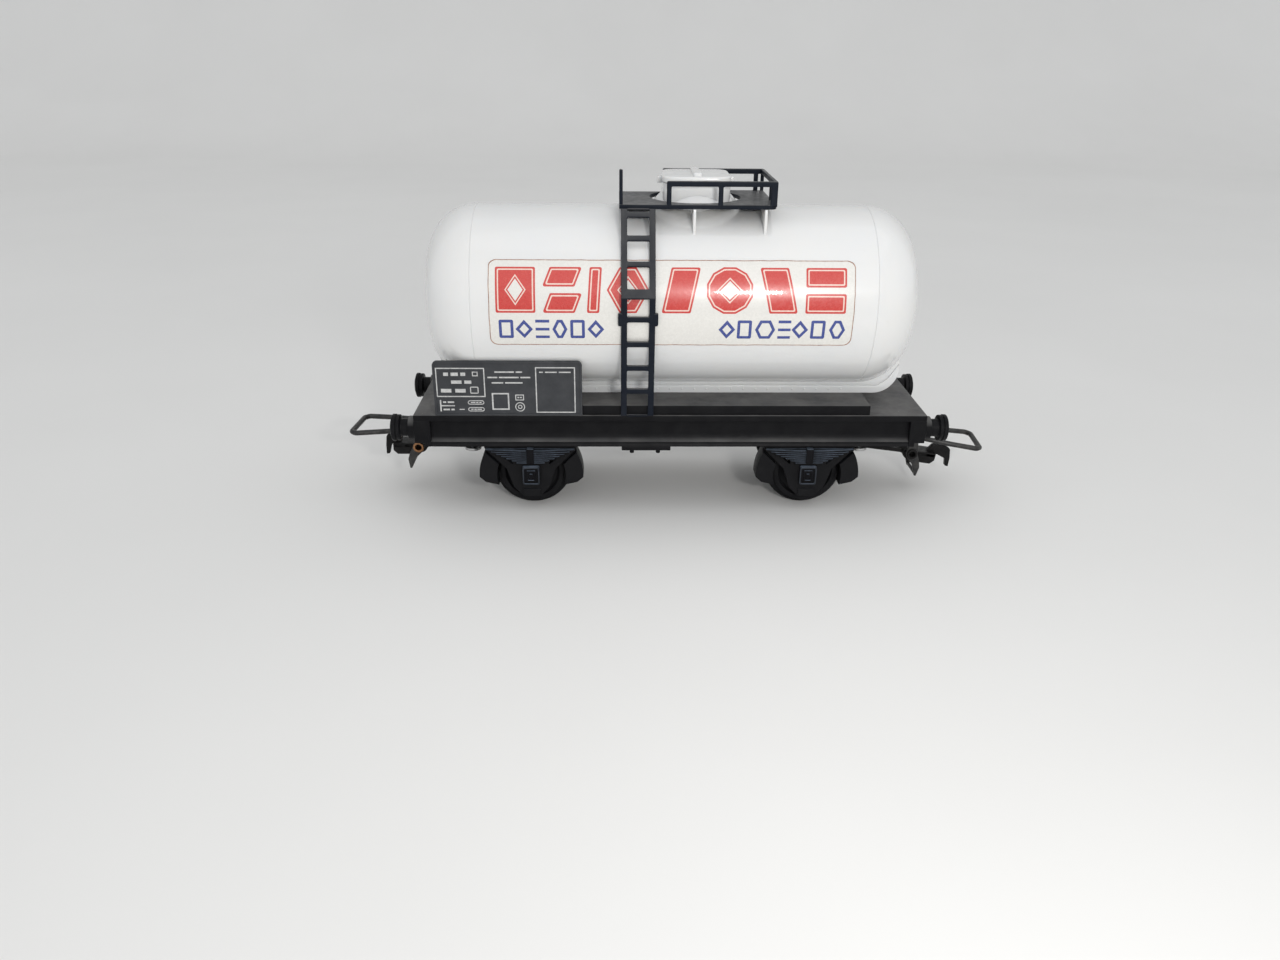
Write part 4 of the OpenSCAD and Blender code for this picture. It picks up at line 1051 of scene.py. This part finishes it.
def drawbar(h):
    """Bar, bent eye plate and hook of one coupling; h is how far the hook reaches."""
    x0, x1 = 8.6, 15.4
    bar_t = 0.8
    plan = rounded([(0, -1.5), (x0 - 0.2, -1.5), (x0, -2.0), (x1, -2.0), (x1, 2.0), (x0, 2.0),
                    (x0 - 0.2, 1.5), (0, 1.5)], [0, 0.3, 0.3, 0.25, 0.25, 0.3, 0.3, 0], 4)
    hole = regular(0, 0, 0.85, 32)
    plan = [p for p in plan if p[0] > 1.2] + arc(0, 0, 1.9, 90, 270, 20)[1:-1]
    parts = [slab([plan, hole], bar_t, 0.1, lifted(-bar_t))]
    ex, ez = EYE.x, EYE.z
    lobe = arc(ex, ez, 1.6, 165, 262, 12)
    lobe += [(ex + 0.9, -2.2), (x1 - 0.8, -2.2), (x1, -1.4), (x1, -0.1), (ex - 1.4, -0.1)]
    lobe = rounded(lobe, [0] * 13 + [0.3, 0.3, 0.3, 0, 0.1], 4)
    eye = regular(ex, ez, 0.76, 32)
    for y in (-1.3, 2.0):
        parts.append(slab([lobe, eye], 0.7, 0.1, facing_front(y)))
    shape = [(-2, -0.8), (-1, -0.8), (0.2 * h, -0.5), (h - 1, -1.2), (h - 0.65, -2.65), (h, -2.75),
             (0.97 * h, -0.9), (0.85 * h, 1), (0.35 * h, 1.9), (-0.6, 1.3)]
    shape = rounded([(x1 + x, z) for x, z in shape], [0, 0.2, 0.3, 0.3, 0.12, 0.12, 0.5, 0.6, 0.5, 0.3], 6)
    parts.append(slab([shape], 1.2, 0.14, facing_front(0.6)))
    return joined(parts)


def loop_lever(cut):
    """Side plates, tail bar and round wire loop of one coupling; cut shortens the loop."""
    y0, t = 2.35, 0.65
    ex, ez = EYE.x, EYE.z
    dz = 3.3
    yl = y0 + t / 2
    side = [(ex - 1.25, ez), (ex - 0.6, dz - 0.3), (ex + 0.5, dz - 0.3), (ex + 1.2, ez), (ex + 1.9, -1.7),
            (ex + 2.25, -2.9), (ex + 2.0, -4.8), (ex + 1.65, -4.8), (ex + 0.7, -2.6), (ex - 0.6, ez - 1.1)]
    side = rounded(side, [0.5, 0.2, 0.2, 0.4, 0.3, 0.4, 0.12, 0.12, 0.5, 0.5], 5)
    eye = regular(ex, ez, 0.81, 32)
    parts = [slab([side, eye], t, 0.1, facing_front(y)) for y in (-y0, y0 + t)]
    parts.append(block((ex + 1.5, -yl, -4.6), (ex + 2.0, yl, -4.0), 0.12))
    ring = [(ex - 0.5, yl), (16.5, 3.9), (22.6 - cut, 4.75), (23.5 - cut, 3.9), (22.8 - cut, -3.75),
            (21.9 - cut, -4.6), (16.9, -4.1), (ex - 0.5, -yl)]
    flat = rounded(ring, [0, 2.2, 0.75, 0.75, 0.75, 0.75, 2.2, 0], 6, False)
    parts.append(wire([(x, y, dz) for x, y in flat], 0.5, 18))
    for y in (-yl, yl):
        cap = rounded([(0, -0.75), (0.56, -0.75), (0.56, 0.75), (0, 0.75)], [0, 0.15, 0.15, 0], 4, False)
        parts.append(lathe(cap, (ex, y, dz), "X", 24))
    return joined(parts)


def loop_pin():
    """Two short eyelets, one through the eye plates on each side, rolled over outside."""
    y0, y1, r, bore, head = 1.2, 3.1, 0.74, 0.55, 1.08
    tip = y1 + 0.28
    profile = [(bore, y0), (bore, y1 + 0.05), (bore + 0.12, tip), (head - 0.15, tip), (head, y1 + 0.14),
               (head, y1 + 0.01), (r, y1), (r, y0), (bore, y0)]
    profile = rounded(profile, [0, 0.05, 0.1, 0.1, 0.08, 0.04, 0, 0, 0], 4, False)
    ring = lathe(profile, (0, 0, 0), "Y", 48)
    return placed(joined([copy_placed(ring, MIRROR_Y), ring]), Matrix.Translation(EYE))


def couplings():
    for end, hook, cut, ring, slot in (("right", 3.65, 0.0, COUPLING, "coupling_black"),
                                       ("left", 1.75, 0.95, COPPER, "rivet_copper")):
        place = coupling_place(end)
        swing = f"coupling_{end}"
        finish_piece(f"drawbar_{end}_plates", placed(drawbar(hook), place), COUPLING,
                     f"drawbar_{end}", 40, swing)
        finish_piece(f"loop_{end}_wire", placed(loop_lever(cut), place), WIRE,
                     f"coupling_loop_{end}", 40, f"loop_{end}")
        finish_piece(f"eyelet_{end}", placed(loop_pin(), place), ring, f"loop_pin_{end}", 40, swing)


# ---------- scene

def stage():
    floor = bpy.data.meshes.new("floor")
    bm = bmesh.new()
    half, near, bend, r = 1.6, -1.2, 0.55, 0.25
    profile = [(near, 0.0), (bend, 0.0)]
    profile += arc(bend, r, r, -90, 0, 16)[1:]
    profile.append((bend + r, 1.4))
    rows = [[bm.verts.new((x, y, z)) for x in (-half, half)] for y, z in profile]
    for one, two in zip(rows, rows[1:]):
        bm.faces.new((one[0], one[1], two[1], two[0]))
    bm.to_mesh(floor)
    bm.free()
    floor.shade_smooth()
    obj = bpy.data.objects.new("floor", floor)
    bpy.context.scene.collection.objects.link(obj)
    n = Nodes("pale_floor")
    shades = [(0.3, (0.76, 0.755, 0.74)), (0.7, (0.785, 0.78, 0.765))]
    n.link(n.ramp(n.noise(0.01, 3), shades), n.shader.inputs["Base Color"])
    n.shader.inputs["Roughness"].default_value = 0.7
    floor.materials.append(n.material)


def area_light(name, place, target, size, power, colour, size_y=None):
    """Rectangular light at a place, aimed at a target; a square one unless size_y is given."""
    light = bpy.data.lights.new(name, "AREA")
    light.shape = "RECTANGLE"
    light.size = size * MM
    light.size_y = (size_y or size) * MM
    light.energy = power
    light.color = colour
    obj = bpy.data.objects.new(name, light)
    bpy.context.scene.collection.objects.link(obj)
    obj.location = Vector(place) * MM
    obj.rotation_euler = (Vector(target) - Vector(place)).to_track_quat("-Z", "Y").to_euler()


def lights():
    cool, warm = (0.97, 0.985, 1.0), (1.0, 0.985, 0.96)
    area_light("softbox_above", (120, -60, 620), (0, 0, 30), 520, 0.30, cool)
    area_light("softbox_front", (60, -420, 300), (0, 0, 30), 300, 0.12, warm)
    area_light("front_flash", (38, -200, 96), (0, 0, 38), 22, 0.12, warm, 10)
    world = bpy.data.worlds.new("studio")
    bpy.context.scene.world = world
    world.use_nodes = True
    sky = world.node_tree.nodes["Background"].inputs
    sky["Color"].default_value = (0.965, 0.98, 1.0, 1)
    sky["Strength"].default_value = 0.80


def camera():
    data = bpy.data.cameras.new("camera")
    cam = bpy.data.objects.new("camera", data)
    bpy.context.scene.collection.objects.link(cam)
    bpy.context.scene.camera = cam
    data.sensor_width = 36
    data.lens = 27.95
    data.clip_start = 0.01
    data.clip_end = 10
    yaw, tilt, roll = (math.radians(a) for a in (-1.46, 24.07, 0.56))
    turn = (Matrix.Rotation(yaw, 4, "Z") @ Matrix.Rotation(math.pi / 2 - tilt, 4, "X")
            @ Matrix.Rotation(roll, 4, "Z"))
    cam.matrix_world = Matrix.Translation(Vector((-9.98, -183.86, 83.12)) * MM) @ turn
    bpy.context.scene.view_settings.view_transform = "Standard"


def carried_over():
    """Materials and softened edges for the CAD nodes that stay on show."""
    groups = {"gear": (GEAR, 0.12), "shoe": (GEAR, 0.2), "coupling_rivets": (STEEL, 0.1),
              "tank_screws": (STEEL, 0.1)}
    for name, node in frame["nodes"].items():
        found = [m for key, m in groups.items() if name.startswith(key)]
        if not found:
            continue
        material, width = found[0]
        node.data.materials.clear()
        node.data.materials.append(material)
        weld = node.modifiers.new("weld", "WELD")
        weld.merge_threshold = 0.002 * MM
        bevel = node.modifiers.new("soft_edges", "BEVEL")
        bevel.width = width * MM
        bevel.segments = 2
        bevel.limit_method = "ANGLE"
        bevel.angle_limit = math.radians(32)


tank_barrel()
tank_ends()
cradle()
manhole()
walkway()
railing()
ladder()
underframe()
buffers()
data_plate()
printed_panels()
springs()
axle_boxes()
wheels()
couplings()
carried_over()
stage()
lights()
camera()
